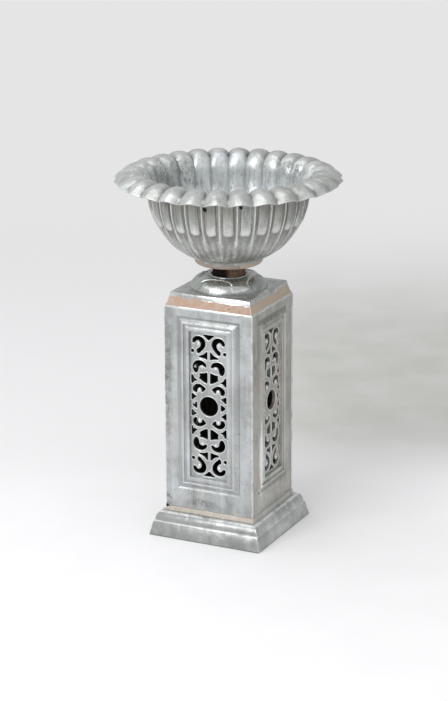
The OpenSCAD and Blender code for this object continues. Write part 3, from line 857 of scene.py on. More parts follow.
def build_cup():
    low, top = CUP_LOW.z, CUP_HIGH.z
    side_r, bottom_r, seat_r, hollow_r, floor_t = CUP_HIGH.x, 0.0415, 0.070, 0.0590, 0.010
    primer_high, clean_high = low + 0.019, low + 0.0032
    outside = [(ROD_HOLE_R, low), (bottom_r - 0.001, low), (bottom_r, low + 0.0006), (0.0570, low + 0.0034),
               (0.0660, low + 0.0060)]
    outside += arc_points((0.0735, low + 0.0175), 0.0093, 0.0100, -78, 0, 8)
    outside += [(side_r - 0.0006, low + 0.0225), (side_r - 0.0002, top - 0.0008), (side_r - 0.001, top)]
    inside = [(seat_r, top), (seat_r - 0.001, top - 0.0012), (hollow_r + 0.0012, low + floor_t + 0.0005),
              (hollow_r, low + floor_t), (ROD_HOLE_R, low + floor_t)]
    piece = spun_profile("bowl_cup_casting", outside + inside + [outside[0]], 96)
    smooth(piece, 40)
    dress(piece, silver_paint(
        "Silver_over_primer_cup", 4, brightness=0.72, streaks=0.35,
        bands=((low - 0.002, primer_high, 0.012, (0.30, 0.24, 0.19)),
               (low - 0.002, clean_high, 0.002, (0.62, 0.46, 0.36)))))
    mounted(piece, "bowl_cup")


def build_neck():
    low, high = NECK_LOW.z, NECK_HIGH.z
    outer, inner = NECK_HIGH.x, NECK_HIGH.x - 0.009
    profile = [(inner, low), (outer - 0.001, low), (outer, low + 0.001), (outer - 0.0006, low + 0.006),
               (outer - 0.0012, low + 0.012), (outer - 0.0005, high - 0.006), (outer, high - 0.001),
               (outer - 0.001, high), (inner, high), (inner, low)]
    piece = spun_profile("neck_pipe", profile, 72)
    smooth(piece, 40)
    dress(piece, neck_iron("Rusty_collar"))
    mounted(piece, "neck_collar")


FOOT_R = 0.0938
DOME_TOP_R, DOME_R = 0.0465, 0.0922
DOME_POWER = 3.4
DOME_STEPS = 36
FOOT_LOBE_PHASE = 1.0  # degrees to the right of the front


def foot_line():
    """Section of the foot, edge, dome, ring and seat: rows of (radius, height, share of the dome)."""
    low, top, wall = FOOT_BASE, NECK_LOW.z, 0.005
    edge = [(0.0880, low), (FOOT_R - 0.0004, low), (FOOT_R, low + 0.0006), (FOOT_R, low + 0.0022),
            (FOOT_R - 0.0006, low + 0.0028), (FOOT_R - 0.0014, low + 0.0030)]
    falls = [1 - i / DOME_STEPS for i in range(DOME_STEPS + 1)]
    dome_w, dome_h = DOME_R - DOME_TOP_R, top - low - 0.0038
    dome = [(DOME_TOP_R + dome_w * t, top - dome_h * t ** DOME_POWER) for t in falls]
    ring = arc_points((0.045, top + 0.0013), 0.0029, 0.0029, -20, 180, 14)
    seat = [(0.0420, top), (ROD_HOLE_R, top), (ROD_HOLE_R, top - wall), (0.040, top - wall)]
    sections = ((edge, 0.0), (dome, 1.0), (ring + seat, 0.0))
    return np.array([(r, z, share) for points, share in sections for r, z in points])


def foot_relief(down, v):
    """Height, sunk share of painted shade and raised share of painted highlight on the dome.

    down grows from 0 at the ring to 1 at the edge, and v is 0 in the middle of a lobe.
    """
    # Two arcs that meet in a notch at the top and run down towards the edge, with a bead under the notch
    arch = np.sqrt((v / 0.35) ** 2 + (np.maximum(0.74 - down, 0.0) / 0.46) ** 2) + 0.16 * peak(v, 0.0, 0.030)
    arcs = peak(arch, 1.0, 0.065) * (1 - smooth_step(down, 0.60, 0.76))
    inner_arch = np.sqrt((v / 0.24) ** 2 + (np.maximum(0.84 - down, 0.0) / 0.38) ** 2)
    tongue = np.clip(1 - inner_arch, 0, 1) ** 0.7
    bead = peak(v, -0.03, 0.028) * peak(down, 0.50, 0.06)
    dot = peak(v, 0.0, 0.016) * peak(down, 0.30, 0.035)
    hollow = (arch < 0.93) * (inner_arch > 1)
    fade = smooth_step(down, 0.03, 0.10) * (1 - smooth_step(down, 0.90, 1.0))
    height = (0.0020 * arcs + 0.0012 * tongue + 0.0020 * bead - 0.0009 * hollow) * fade
    shaded = (peak(arch, 0.84, 0.06) + 0.6 * peak(arch, 1.18, 0.08)) * fade
    sunk = 0.75 * np.clip(shaded + 1.3 * dot + 0.8 * peak(down, 0.08, 0.05), 0, 1)
    raised = 0.8 * np.clip(1.1 * arcs + 0.9 * bead, 0, 1) * (1 - dot) * fade
    return height, sunk, raised


def build_foot():
    line = foot_line()
    normal = side_normals(line)
    columns = 336
    lobe_turn = 360 / sizes().foot_lobes

    def place(column, row):
        r, z, dome = line[row].T
        turn = 360.0 * column / columns
        v = (turn - FOOT_LOBE_PHASE) / lobe_turn
        down = np.clip((r - 0.047) / (DOME_R - 0.047), 0, 1)
        height, sunk, raised = foot_relief(down, v - np.rint(v))
        offset = height * dome
        points = round_the_axis(r + normal[row, 0] * offset, np.radians(turn), z + normal[row, 1] * offset)
        return points, sunk * dome, raised * dome

    piece = wrapped_grid("urn_foot_casting", len(line) - 1, columns, place)
    tidy_mesh(piece, 2e-6)
    close_ends(piece, 2e-6)
    smooth(piece, 50)
    # A painted highlight patch on the foot's lower front; the relief's shares add painted shade and highlights
    dress(piece, silver_paint(
        "Silver_paint_foot", 6, brightness=0.86, tint=(0.97, 1.0, 0.97), metal=0.8, gloss=0.12, relief=True,
        highlight_patches=(((0.036, -0.075, FOOT_BASE + 0.0120), (0.070, 0.040, 0.0085), 1.0),)))
    mounted(piece, "urn_foot")


# Square castings

# A black spot near the front left corner: painted shade of a notch
FRONT_LEFT_NOTCH = ((-0.1125, -0.1170, 0.0725), 0.0050)


def square_rings(name, rings):
    """Closed square casting drawn up ring by ring: rings are (half width, height) in metres."""
    start_clean()
    half, z = rings[0]
    bpy.ops.mesh.primitive_plane_add(size=2 * half, location=(0, 0, z))
    piece = named(name)
    bpy.ops.object.transform_apply(location=True, rotation=True, scale=True)
    edit(piece)
    bpy.ops.mesh.select_mode(type="EDGE")
    bpy.ops.mesh.select_all(action="SELECT")
    bpy.ops.mesh.delete(type="ONLY_FACE")
    bpy.ops.mesh.select_all(action="SELECT")
    for (ha, za), (hb, zb) in zip(rings, rings[1:]):
        bpy.ops.mesh.extrude_edges_move(TRANSFORM_OT_translate={"value": (0, 0, zb - za)})
        bpy.ops.transform.resize(value=(hb / ha, hb / ha, 1), center_override=(0, 0, zb))
    bpy.ops.object.mode_set(mode="OBJECT")
    tidy_mesh(piece)
    close_ends(piece)
    return piece


def build_base():
    top, half = PANEL_LOW.z, BASE_HALF
    apron_top, ledge, ovolo_half = 0.036, 0.061, 0.120
    rib, rib_t, rib_h, plate_t, window = 0.1075, 0.007, 0.007, 0.012, 0.080
    apron = [(half - 0.0008, 0.0), (half, 0.0010),
             (half - 0.0076, apron_top - 0.0014), (half - 0.0086, apron_top),
             (half - 0.0100, apron_top + 0.0002), (half - 0.0105, apron_top + 0.0008)]
    ovolo = arc_points((ovolo_half, apron_top + 0.001), 0.0172, ledge - apron_top - 0.001, 0, 84, 12)
    fillet = [(ovolo_half + 0.0003, ledge), (0.1188, ledge + 0.0004), (0.1183, ledge + 0.0012),
              (SHAFT_HALF + 0.0005, top - 0.0010), (SHAFT_HALF - 0.0002, top)]
    inside = [(rib, top), (rib, top + rib_h), (rib - rib_t, top + rib_h), (rib - rib_t, top), (window, top),
              (window, top - plate_t), (rib, top - plate_t), (half - 0.018, apron_top), (half - 0.010, 0.0)]
    piece = square_rings("base_casting", apron + ovolo + fillet + inside)
    bevelled(piece, 0.0012, 40)
    smooth(piece, 30)
    # Painted light: the +X side is brightened, and bright lines along the apron's top, the ovolo and the
    # corners are painted highlights; the dark line at the foot is dirt and painted contact shadow, the one at
    # the top a seam, and the black spots painted shade of a notch
    dress(piece, silver_paint(
        "Silver_paint_base", 8, brightness=0.69, metal=0.65, gloss=0.04, right_painted_light=1.42, solid=0.35,
        right_share=0.4, bands=((ledge + 0.0006, top - 0.001, 0.0050, (0.49, 0.43, 0.365)),),
        lines=(("Z", apron_top, 0.0018, BARE_AND_HIGHLIGHT, 0.8), ("Z", ledge - 0.0025, 0.0028, BARE_AND_HIGHLIGHT, 0.85),
               ("XY", 0.0, 0.0026, BARE_AND_HIGHLIGHT, 0.55),
               ("Z", 0.001, 0.0022, DIRT_AND_SHADE, 0.7), ("Z", top, 0.0012, DIRT_AND_SHADE, 0.6)),
        spots=(FRONT_LEFT_NOTCH, ((-0.106, -0.1185, 0.0715), 0.0030))))
    mounted(piece, "base_plinth")


def build_cap():
    low, top = PANEL_HIGH.z, FOOT_BASE
    shoulder, edge = low + 0.027, low + 0.035
    rib, rib_t, rib_h, plate_t, hollow = 0.1075, 0.007, 0.007, 0.007, 0.086
    slope = [(SHAFT_HALF - 0.0004, low), (SHAFT_HALF - 0.0006, low + 0.0012), (0.1148, low + 0.0024),
             (0.1118, low + 0.0080), (0.1096, low + 0.0150), (0.1078, low + 0.0215),
             (0.1064, shoulder - 0.0010)]
    rounding = [(0.1066, shoulder + 0.0006), (0.1062, shoulder + 0.0030), (0.1052, edge - 0.0022),
                (0.1040, edge - 0.0006), (0.1020, edge + 0.0002), (0.0945, top - 0.0001), (0.0935, top)]
    hole = ROD_HOLE_R + 0.0001
    inside = [(hole, top), (hole, top - plate_t), (hollow, top - plate_t), (0.096, shoulder),
              (rib - rib_t, low), (rib - rib_t, low - rib_h), (rib, low - rib_h), (rib, low)]
    piece = square_rings("cap_casting", slope + rounding + inside)
    bevelled(piece, 0.0011, 38)
    smooth(piece, 30)
    # Painted highlights: a near-white patch on the shoulder's front and bright lines on the corners and along
    # the lower edge; the black spots are painted shade of small holes
    dress(piece, silver_paint(
        "Silver_over_primer_cap", 12, brightness=0.98, metal=0.75, gloss=0.10,
        bands=((low + 0.0032, shoulder - 0.004, 0.010, colours().primer),),
        highlight_patches=(((0.055, -0.106, shoulder + 0.002), (0.066, 0.016, 0.0095), 1.0),),
        lines=(("XY", 0.0, 0.0022, BARE_AND_HIGHLIGHT, 0.45), ("Z", low + 0.0015, 0.0020, BARE_AND_HIGHLIGHT, 0.7)),
        spots=(((0.053, -0.111, low + 0.011), 0.0017), ((0.082, -0.112, low + 0.008), 0.0012),
               ((0.067, -0.110, low + 0.014), 0.0010))))
    mounted(piece, "cap")


# Grilles

# Each panel is made lying on its back: x across, y up from its lower edge, z out of its face
FRAME_HALF = 0.084
FRAME_LOW = 0.048
FRAME_TOP_GAP = 0.019
FRAME_W = 0.035
GRILLE_MID = (FRAME_LOW + PANEL_HEIGHT - FRAME_TOP_GAP) / 2
GRILLE_FRONT = -0.0034
GRILLE_BACK = -0.0130

# Outlines of the holes in the upper right quarter, in millimetres from the grille's middle
SCROLL_TOP = [(28, 129), (20, 136), (13.5, 142.5), (9.5, 149), (8, 156), (9.5, 163), (14, 169),
              (21, 172.5), (29, 173), (36, 171), (41, 166.5), (43.2, 161), (42.5, 156.5), (39, 155),
              (35.5, 157.5), (32.5, 162), (27.5, 163), (23, 159.5), (20.8, 154), (21.8, 148),
              (25.5, 143.5), (31, 141), (31.8, 135)]
SCROLL_MIDDLE = [(34.5, 80.5), (39, 84.5), (42.2, 91), (42.7, 98), (40, 105), (34.5, 110.5), (27, 113),
                 (19, 112.8), (11.5, 109.5), (6.8, 104.5), (5.8, 99.5), (8.5, 97), (12.5, 99.5),
                 (17, 101.8), (22.5, 101), (26.5, 97), (27.2, 90.5), (29.5, 84.5)]
SCROLL_LOW = [(7.5, 43.5), (12.5, 47.5), (18.5, 51.5), (25.5, 53.8), (32.5, 52.8), (38.5, 48.8),
              (42.3, 43.5), (42.8, 38.5), (40, 34), (35.5, 31.5), (31.5, 33), (31.2, 38.5), (29.5, 43),
              (25.5, 45.3), (21, 44), (18.6, 40), (19, 35.5), (16.5, 34.6), (12.5, 38.5)]
BAR_UPPER = [(3.7, 138), (11.5, 129.8), (19, 126), (26, 123.5), (25.5, 121.3), (17, 120), (9.5, 119),
             (3.7, 116)]
BAR_LOWER = [(3.7, 57), (12, 60), (19, 63.8), (25.6, 68.6), (23.2, 74), (24.8, 80), (16, 80.8), (9, 82.6),
             (3.7, 84.4)]
EDGE_UPPER = [(46.3, 76), (42.6, 74.5), (38.5, 67.5), (30.5, 62.4), (38, 60), (41.5, 56.4), (44.8, 53.4),
              (46.5, 57)]
EDGE_LOWER = [(46.3, 12), (42.5, 13.6), (38, 18.2), (31.8, 22), (39, 24.8), (43, 28.5), (46.3, 27.5)]
EDGE_SIDE = [(31.8, 8.2), (37, 6.2), (44.5, 0), (37, -6.2), (31.8, -8.2)]
TIP = [(-16, 178.5), (0, 178), (16, 178.5), (8, 172.3), (0, 165), (-8, 172.3)]
# A small round hole and the large one in the middle, as (x, y, radius, points)
CORNER_HOLE = (42.8, 135.5, 3.9, 16)
MIDDLE_HOLE = (0, 0, 24, 48)
# Knobs at the tips of the scrolls, as (x, y, radius) in millimetres
KNOBS = ((26.3, 154.3, 5.4), (17.9, 97.0, 4.6), (24.9, 38.4, 5.6))
SCROLL_KEEP, CORNER_KEEP = 0.22, 0.14
EDGE_SPREAD = 2.1
EDGE_R = 0.0012


def rounded(points, keep):
    """Rounds a closed outline by cutting its corners twice."""
    for _ in range(2):
        cut = []
        for (ax, ay), (bx, by) in zip(points, points[1:] + points[:1]):
            cut.append((ax + (bx - ax) * keep, ay + (by - ay) * keep))
            cut.append((bx + (ax - bx) * keep, by + (ay - by) * keep))
        points = cut
    return points


def circle(x, y, r, steps):
    turns = [2 * math.pi * i / steps for i in range(steps)]
    return [(x + r * math.cos(a), y + r * math.sin(a)) for a in turns]


def turning(points):
    """Twice the outline's area, positive where it runs anticlockwise."""
    return sum(ax * by - bx * ay for (ax, ay), (bx, by) in zip(points, points[1:] + points[:1]))


def grille_outlines():
    """Every hole of the grille, running clockwise so that the curve's offset moves its edge the right way."""
    quarter = [rounded(o, SCROLL_KEEP) for o in (SCROLL_TOP, SCROLL_MIDDLE, SCROLL_LOW)]
    quarter += [rounded(o, CORNER_KEEP) for o in (BAR_UPPER, BAR_LOWER, EDGE_UPPER, EDGE_LOWER)]
    quarter.append(circle(*CORNER_HOLE))
    outlines = []
    for sx in (1, -1):
        for sy in (1, -1):
            outlines += [[(sx * x, sy * y) for x, y in o] for o in quarter]
        outlines.append([(sx * x, y) for x, y in rounded(EDGE_SIDE, CORNER_KEEP)])
    for sy in (1, -1):
        outlines.append([(x, sy * y) for x, y in rounded(TIP, CORNER_KEEP)])
    outlines.append(circle(*MIDDLE_HOLE))
    return [o if turning(o) < 0 else o[::-1] for o in outlines]


def spread(points, distance):
    """Moves a clockwise outline outwards from its hole."""
    moved = []
    for (ax, ay), (bx, by), (cx, cy) in zip(points[-1:] + points[:-1], points, points[1:] + points[:1]):
        tx, ty = cx - ax, cy - ay
        size = math.hypot(tx, ty) or 1.0
        moved.append((bx - ty / size * distance, by + tx / size * distance))
    return moved


def curve_object(name, outlines, z=0.0, **settings):
    """A curve with one closed spline for each outline in millimetres, made a mesh."""
    data = bpy.data.curves.new(name, "CURVE")
    for key, value in settings.items():
        setattr(data, key, value)
    for outline in outlines:
        spline = data.splines.new("POLY")
        spline.points.add(len(outline) - 1)
        for point, (x, y) in zip(spline.points, outline):
            point.co = (x * MM, y * MM, z, 1)
        spline.use_cyclic_u = True
    piece = bpy.data.objects.new(name, data)
    bpy.context.scene.collection.objects.link(piece)
    only(piece)
    bpy.ops.object.convert(target="MESH")
    return bpy.context.object


def grille_plate(outlines, wall_shade):
    """The plate with its holes, whose edges are round; its own edge lies buried in the frame."""
    w = (FRAME_HALF - FRAME_W) / MM + 2.5
    h = (GRILLE_MID - FRAME_LOW - FRAME_W) / MM + 2.5
    border = [(-w, -h), (w, -h), (w, h), (-w, h)]
    round_r = sizes().bar_round
    plate = curve_object(
        "grille_plate", [border] + outlines, dimensions="2D", fill_mode="BOTH", bevel_depth=round_r,
        bevel_resolution=3, offset=-round_r, extrude=(GRILLE_FRONT - GRILLE_BACK) / 2 - round_r)
    placed(plate, Matrix.Translation((0, 0, (GRILLE_FRONT + GRILLE_BACK) / 2)))
    depths = GRILLE_FRONT - np.array([v.co.z for v in plate.data.vertices])
    # Painted shade on the holes' walls, darker deeper in, over a little dirt on the whole plate
    set_shares(plate, 0.22 + wall_shade * smooth_step(depths, 0.0008, 0.0019), 0.0)
    return plate


def grille_edges(outlines):
    """The raised round edges beside the holes."""
    spread_outlines = [spread(o, EDGE_SPREAD) for o in outlines]
    edges = curve_object("grille_edges", spread_outlines, GRILLE_FRONT - EDGE_R / 2, dimensions="3D",
                         bevel_depth=EDGE_R, bevel_resolution=2)
    # Painted highlights along the round edges
    set_shares(edges, 0.0, 0.75)
    return edges


def build_knob(radius):
    """A low knob with its underside drawn in, at the grille's middle."""
    start_clean()
    bpy.ops.mesh.primitive_uv_sphere_add(
        segments=20, ring_count=12, radius=radius, location=(0, 0, GRILLE_FRONT - 0.0012))
    knob = bpy.context.object
    edit(knob)
    bpy.ops.mesh.select_all(action="SELECT")
    bpy.ops.transform.resize(value=(1, 1, 0.62), center_override=knob.location)
    pick_faces(knob, lambda c: c.z < -0.35 * radius)
    bpy.ops.transform.resize(value=(0.8, 0.8, 1), center_override=knob.location)
    bpy.ops.object.mode_set(mode="OBJECT")
    bpy.ops.object.transform_apply(location=True, rotation=True, scale=True)
    # Painted highlight on the knob
    set_shares(knob, 0.0, 0.8)
    return knob


def build_knobs():
    """Models each size of knob once and copies it to the other quarters."""
    knobs = []
    for x, y, r in KNOBS:
        first = build_knob(r * MM)
        twins = [first] + [copied(first) for _ in range(3)]
        for twin, (sx, sy) in zip(twins, ((1, 1), (1, -1), (-1, 1), (-1, -1))):
            knobs.append(placed(twin, Matrix.Translation((sx * x * MM, sy * y * MM, 0))))
    return knobs


def build_grille(wall_shade):
    """The openwork ornament: a plate with round edges, and knobs at the scrolls' tips."""
    outlines = grille_outlines()
    parts = [grille_plate(outlines, wall_shade), grille_edges(outlines)] + build_knobs()
    return placed(joined(parts, "grille"), Matrix.Translation((0, GRILLE_MID, 0)))


# Panels

# Section of the frame from the plain edge inwards: (width, rise) of each band in millimetres
QUIRK = [(2.0, -0.5), (4.0, -3.0), (0.5, 0.0), (2.5, 0.5)]
OUTER_BAND = [(3.0, 2.2), (3.2, 2.8), (2.6, 1.2), (2.2, 0.4), (0.8, -0.4)]
STEP_DOWN = [(1.0, -3.2), (3.0, -0.1)]
INNER_BAND = [(2.4, 1.5), (3.2, 1.5), (3.6, 0.5), (2.0, -0.4), (0.7, -0.9)]
FIELD_WALL = [(0.3, -7.1), (1.8, 0.0)]
# The quirk's slope starts this far outside its edge
QUIRK_SLOPE = 0.002
SURROUND_HALF = FRAME_HALF + QUIRK_SLOPE
SURROUND_LOW = FRAME_LOW - QUIRK_SLOPE
SURROUND_HIGH = PANEL_HEIGHT - FRAME_TOP_GAP + QUIRK_SLOPE
PANEL_T = 0.008
SLIVER = 8e-5


def shade_and_wear_surround(piece):
    """Bare paint and painted highlights on the frame's arrises; dirt and painted shade in its quirks, and
    painted shade on the top side's outer slope.
    """
    places = np.array([v.co[:] for v in piece.data.vertices])
    x, y, z = places.T
    half_h, mid = (SURROUND_HIGH - SURROUND_LOW) / 2, (SURROUND_HIGH + SURROUND_LOW) / 2
    inward = np.minimum(SURROUND_HALF - np.abs(x), half_h - np.abs(y - mid))
    worn = peak(inward, 0.0202, 0.0011) + 0.4 * peak(inward, 0.032, 0.003)
    grooves_dirt_and_shade = 0.7 * peak(inward, 0.0062, 0.0016) + peak(inward, 0.0232, 0.0018)
    grooves_dirt_and_shade += 0.3 * peak(inward, 0.038, 0.0014)
    # Painted shade on the outer slope along the top side
    grooves_dirt_and_shade += 1.2 * peak(SURROUND_HIGH - y, 0.0095, 0.0042) * (inward > 0)
    front = z > -0.0075
    set_shares(piece, np.clip(grooves_dirt_and_shade, 0, 1) * 0.6 * front, np.clip(worn, 0, 1) * 0.5 * front)


def build_surround(half_w):
    """The panel's plain edge and its sunk and raised frame."""
    start_clean()
    bpy.ops.mesh.primitive_plane_add(size=1, location=(0, 0, 0))
    piece = named("surround")
    edit(piece)
    bpy.ops.mesh.select_all(action="SELECT")
    bpy.ops.transform.resize(value=(2 * half_w, PANEL_HEIGHT, 1), center_override=(0, 0, 0))
    bpy.ops.transform.translate(value=(0, PANEL_HEIGHT / 2, 0))
    for at, across in (((-SURROUND_HALF, 0, 0), (1, 0, 0)), ((SURROUND_HALF, 0, 0), (1, 0, 0)),
                       ((0, SURROUND_LOW, 0), (0, 1, 0)), ((0, SURROUND_HIGH, 0), (0, 1, 0))):
        bpy.ops.mesh.select_all(action="SELECT")
        bpy.ops.mesh.bisect(plane_co=at, plane_no=across)
    pick_faces(piece, lambda c: abs(c.x) < 0.01 and SURROUND_LOW < c.y < SURROUND_HIGH)
    for width, rise in QUIRK + OUTER_BAND + STEP_DOWN + INNER_BAND + FIELD_WALL:
        bpy.ops.mesh.inset(thickness=width * MM, depth=rise * MM, use_even_offset=True)
    # The middle opens for the grille, and the edges get their thickness
    bpy.ops.mesh.delete(type="FACE")
    pick_open_edges()
    bpy.ops.mesh.extrude_edges_move(TRANSFORM_OT_translate={"value": (0, 0, -0.001)})
    bpy.ops.transform.resize(value=(1, 1, 0), center_override=(0, 0, -PANEL_T))
    bpy.ops.mesh.bridge_edge_loops()
    bpy.ops.object.mode_set(mode="OBJECT")
    tidy_mesh(piece)
    bevelled(piece, 0.0007, 28)
    tidy_mesh(piece, SLIVER)
    shade_and_wear_surround(piece)
    return piece


def paint_inside(piece, shaded_walls):
    """Gives the second material to the back, and also to the grille holes' walls where they take it as painted
    shade.
    """
    half_w = FRAME_HALF - FRAME_W - 0.001
    half_h = GRILLE_MID - FRAME_LOW - FRAME_W - 0.001
    deep = GRILLE_FRONT - 0.0022
    for face in piece.data.polygons:
        x, y, z = face.center
        back = face.normal.z < -0.5 and z < 0
        hole_wall = abs(face.normal.z) < 0.3 and z < deep and abs(x) < half_w and abs(y - GRILLE_MID) < half_h
        if back or (hole_wall and shaded_walls):
            face.material_index = 1


def panel_paint(side, seed):
    """The right and back panels are warmer and rustier than the front and left ones."""
    weathered = side in ("right", "back")
    if side in ("left", "right"):
        upright = ("Y", SIDE_HALF, 0.0022, (0.33, 0.27, 0.22), 0.75)
    else:
        upright = ("X", SHAFT_HALF, 0.0020, BARE_AND_HIGHLIGHT, 0.7)
    # Painted highlights: bright lines on the front and back panels' corners and along the top, and a
    # near-white streak on the right panel's frame; the black spot is painted shade of a notch
    return silver_paint(
        "Silver_paint_%s_panel" % side, seed, brightness=0.90 if weathered else 0.88, metal=0.6, streaks=0.14,
        tint=(1.0, 0.985, 0.93) if weathered else (0.985, 1.0, 1.02), warm=0.45 if weathered else 0.14,
        relief=True,
        stains_and_shade=(((-0.109, -0.12, 0.41), (0.014, 0.02, 0.19)), ((-0.02, -0.12, 0.092), (0.045, 0.02, 0.013)),
                ((0.12, -0.02, 0.545), (0.02, 0.06, 0.014)), ((-0.112, -0.12, 0.085), (0.02, 0.02, 0.03))),
        highlight_patches=(((0.119, -0.0655, 0.205), (0.02, 0.0095, 0.125), 0.75),),
        lines=(upright, ("Z", PANEL_HIGH.z, 0.0022, BARE_AND_HIGHLIGHT, 0.8)), spots=(FRONT_LEFT_NOTCH,))


def build_panel(side, turn, half_w, seed, inside):
    """One panel, stood up and turned to its side; the front and left panels' hole walls get the near-black
    iron and heavy painted shade, the right and back panels' keep the silver paint.
    """
    lit_walls = side in ("right", "back")
    grille = build_grille(wall_shade=0.10 if lit_walls else 0.78)
    piece = joined([build_surround(half_w), grille], side + "_openwork_panel")
    dress(piece, panel_paint(side, seed), inside)
    paint_inside(piece, shaded_walls=not lit_walls)
    smooth(piece, 32)
    upright = Matrix.Rotation(math.radians(90), 4, "X")
    out = Matrix.Translation((0, -SHAFT_HALF, PANEL_LOW.z))
    placed(piece, Matrix.Rotation(math.radians(turn), 4, "Z") @ out @ upright)
    mounted(piece, side + "_panel")


def build_panels():
    # Near-black bare iron for the panels' backs, also laid on the front and left panels' hole walls as painted
    # shade
    inside = rusty_iron("Bare_iron_and_hole_shade", 3, (0.006, 0.005, 0.0045), (0.010, 0.008, 0.007))
    for side, turn, half_w, seed in (("front", 0, SHAFT_HALF, 15), ("right", 90, SIDE_HALF, 19),
                                     ("back", 180, SHAFT_HALF, 23), ("left", 270, SIDE_HALF, 27)):
        build_panel(side, turn, half_w, seed, inside)


# Hardware, floor, lights and camera


def dress_hardware():
    steel = steel_finish("Dull_steel", 2)
    rusty = rusty_iron("Rusty_angle_iron", 7, (0.02, 0.015, 0.012), (0.07, 0.045, 0.03))
    rubber = rubber_finish("Black_rubber")
    for name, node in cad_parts.items():
        if name.startswith("corner_angle") or name in ("base_crossbar", "bowl_clamp_plate", "panel_screws"):
            dress(node, rusty)
        elif name == "top_seal":
            dress(node, rubber)
        elif name == "tie_rod" or name.endswith(("washer", "nut")):
            dress(node, steel)


def floor_material():
    """Pale floor that runs up into the background, shaded behind the planter on the right, even far away."""
    p = Paint("Pale_floor")
    pale = colours().floor
    forward = p.maths("MULTIPLY_ADD", p.axes["X"], -YAW_SIN, p.times(p.axes["Y"], YAW_COS))
    right = p.maths("MULTIPLY_ADD", p.axes["X"], YAW_COS, p.times(p.axes["Y"], YAW_SIN))
    # Painted shade: the floor darkens a little from the planter backwards
    shade = p.mix(p.step(forward, 0.1, 0.6), pale, tuple(v * 0.93 for v in pale))
    middle = p.times(p.step(forward, 0.28, 0.80), p.step(forward, 3.4, 1.3))
    shaded = tuple(v * t for v, t in zip(pale, (0.585, 0.595, 0.550)))
    shade = p.mix(p.times(middle, p.step(right, -0.25, 0.30)), shade, shaded)
    fine = p.noise(6, 3, 0.5)
    shade = p.mix(p.step(fine, 0.2, 0.8, 0.0, 0.25), shade, tuple(v * 0.9 for v in pale))
    p.bump((p.noise(300, 2, 0.5), 0.02 * MM))
    p.finish(shade, 0.9)
    # Far away the camera sees the background's own even light
    glow = p.node("ShaderNodeEmission", {"Color": (0.79, 0.785, 0.79, 1), "Strength": 1.0})
    far = p.times(p.seen_by_camera(), p.step(forward, 1.6, 3.6))
    p.mix_shaders(far, p.shader, glow, "Material Output")
    return p.material


def build_floor():
    start_clean()
    bpy.ops.mesh.primitive_circle_add(vertices=96, radius=40, fill_type="NGON", location=(0, 0, 0))
    floor = named("floor")
    smooth(floor)
    dress(floor, floor_material())


def add_lamp(name, place, aim, size, watts):
    start_clean()
    bpy.ops.object.light_add(type="AREA", location=place)
    lamp = bpy.context.object
    lamp.name = name
    lamp.data.shape = "RECTANGLE"
    lamp.data.size, lamp.data.size_y = size
    lamp.data.energy = watts
    lamp.rotation_euler = (Vector(aim) - Vector(place)).to_track_quat("-Z", "Y").to_euler()


def build_world():
    """Soft light, most of it from the front left and above; the camera sees an even pale background."""
    world = bpy.data.worlds.new("Studio")
    bpy.context.scene.world = world
    world.use_nodes = True
    w = NodeMaker(world.node_tree)
    way = w.node("ShaderNodeTexCoord").outputs["Generated"]
    towards = w.vector("DOT_PRODUCT", way, Vector((-0.42, -0.72, 0.55)).normalized())
    sky = w.nodes["Background"]
    w.feed(sky.inputs["Strength"], w.step(towards, -0.75, 0.85, 0.51, 0.88))
    sky.inputs["Color"].default_value = (0.985, 0.992, 1.0, 1)
    pale = w.node("ShaderNodeBackground", {"Color": (0.76, 0.76, 0.765, 1)})
    w.mix_shaders(w.seen_by_camera(), sky, pale, "World Output")


def place_camera():
    """The photograph's viewpoint, to the right of the front and above level."""
    pitch, roll = math.radians(PITCH), math.radians(ROLL)
    back = Vector((YAW_SIN * math.cos(pitch), -YAW_COS * math.cos(pitch), math.sin(pitch)))
    right = (-back).cross(Vector((0, 0, 1))).normalized()
    up = right.cross(-back)
    right, up = (math.cos(roll) * right + math.sin(roll) * up, math.cos(roll) * up - math.sin(roll) * right)
    place = CAMERA_TARGET + back * CAMERA_DISTANCE
    start_clean()
    bpy.ops.object.camera_add(location=place)
    camera = bpy.context.object
    camera.name = "view_camera"
    turned = Matrix((right, up, back)).transposed().to_4x4()
    camera.matrix_world = Matrix.Translation(place) @ turned
    camera.data.sensor_width = SENSOR
    camera.data.lens = PHOTO_FOCAL / PHOTO_H * SENSOR
    camera.data.shift_x = (PHOTO_W / 2 - PHOTO_CENTRE_X) / PHOTO_H
    camera.data.shift_y = (PHOTO_CENTRE_Y - PHOTO_H / 2) / PHOTO_H
    camera.data.clip_end = 200
    bpy.context.scene.camera = camera


def build_stage():
    build_floor()
    add_lamp("soft_front_left", (-0.9, -3.5, 2.9), (0, 0, 0.55), (2.6, 2.4), 78)
    add_lamp("soft_top", (-0.4, -0.9, 3.6), (0, 0, 0.7), (2.6, 2.0), 14)
    build_world()
    place_camera()
    bpy.context.scene.view_settings.view_transform = "Standard"


# Operators and panel


class PLANTER_OT_bowl(bpy.types.Operator):
    """Builds the fluted bowl with its scalloped rim"""

    bl_idname = "planter.bowl"
    bl_label = "Bowl"

    def execute(self, context):
        build_bowl()
        return {"FINISHED"}


class PLANTER_OT_foot(bpy.types.Operator):
    """Builds the cup, the collar and the domed foot under the bowl"""

    bl_idname = "planter.foot"
    bl_label = "Cup, collar and foot"

    def execute(self, context):
        build_cup()
        build_neck()
        build_foot()
        return {"FINISHED"}


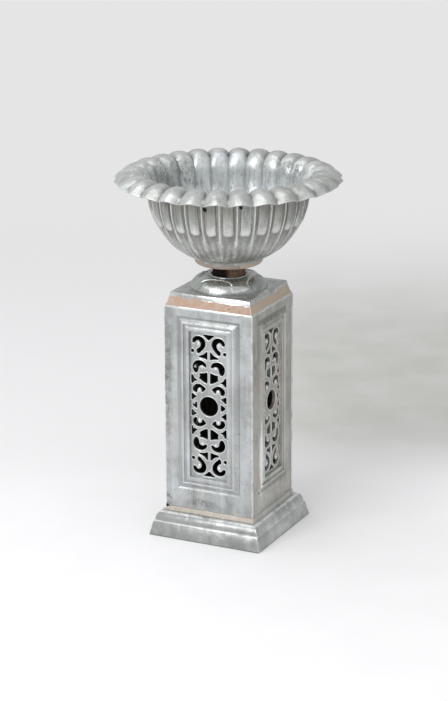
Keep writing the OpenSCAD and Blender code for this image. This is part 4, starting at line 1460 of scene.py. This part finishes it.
class PLANTER_OT_base_and_cap(bpy.types.Operator):
    """Builds the moulded base and the pedestal's cap"""

    bl_idname = "planter.base_and_cap"
    bl_label = "Base and cap"

    def execute(self, context):
        build_base()
        build_cap()
        return {"FINISHED"}


class PLANTER_OT_panels(bpy.types.Operator):
    """Builds the four openwork panels"""

    bl_idname = "planter.panels"
    bl_label = "Openwork panels"

    def execute(self, context):
        build_panels()
        return {"FINISHED"}


class PLANTER_OT_hardware(bpy.types.Operator):
    """Gives the angle irons, the rod, its nuts and washers their finishes"""

    bl_idname = "planter.hardware"
    bl_label = "Hardware finishes"

    def execute(self, context):
        dress_hardware()
        return {"FINISHED"}


class PLANTER_OT_stage(bpy.types.Operator):
    """Adds the floor, the lights and the camera"""

    bl_idname = "planter.stage"
    bl_label = "Floor, lights and camera"

    def execute(self, context):
        build_stage()
        return {"FINISHED"}


class PLANTER_PT_sidebar(bpy.types.Panel):
    """Lists the planter's pieces, sizes and colours"""

    bl_label = "Planter"
    bl_idname = "PLANTER_PT_sidebar"
    bl_space_type = "VIEW_3D"
    bl_region_type = "UI"
    bl_category = "Planter"

    def draw(self, context):
        for group in (sizes(), colours()):
            for name in group.__annotations__:
                self.layout.prop(group, name)
        for operator in STEPS:
            self.layout.operator(operator.bl_idname)


STEPS = (PLANTER_OT_bowl, PLANTER_OT_foot, PLANTER_OT_base_and_cap, PLANTER_OT_panels, PLANTER_OT_hardware,
         PLANTER_OT_stage)
CLASSES = (PlanterSizes, PlanterColours, *STEPS, PLANTER_PT_sidebar)


def register():
    for cls in CLASSES:
        bpy.utils.register_class(cls)
    bpy.types.Scene.planter_sizes = PointerProperty(type=PlanterSizes)
    bpy.types.Scene.planter_colours = PointerProperty(type=PlanterColours)


def unregister():
    del bpy.types.Scene.planter_sizes
    del bpy.types.Scene.planter_colours
    for cls in reversed(CLASSES):
        bpy.utils.unregister_class(cls)


def main():
    register()
    bpy.ops.planter.bowl()
    bpy.ops.planter.foot()
    bpy.ops.planter.base_and_cap()
    bpy.ops.planter.panels()
    bpy.ops.planter.hardware()
    bpy.ops.planter.stage()


if __name__ == "__main__":
    main()
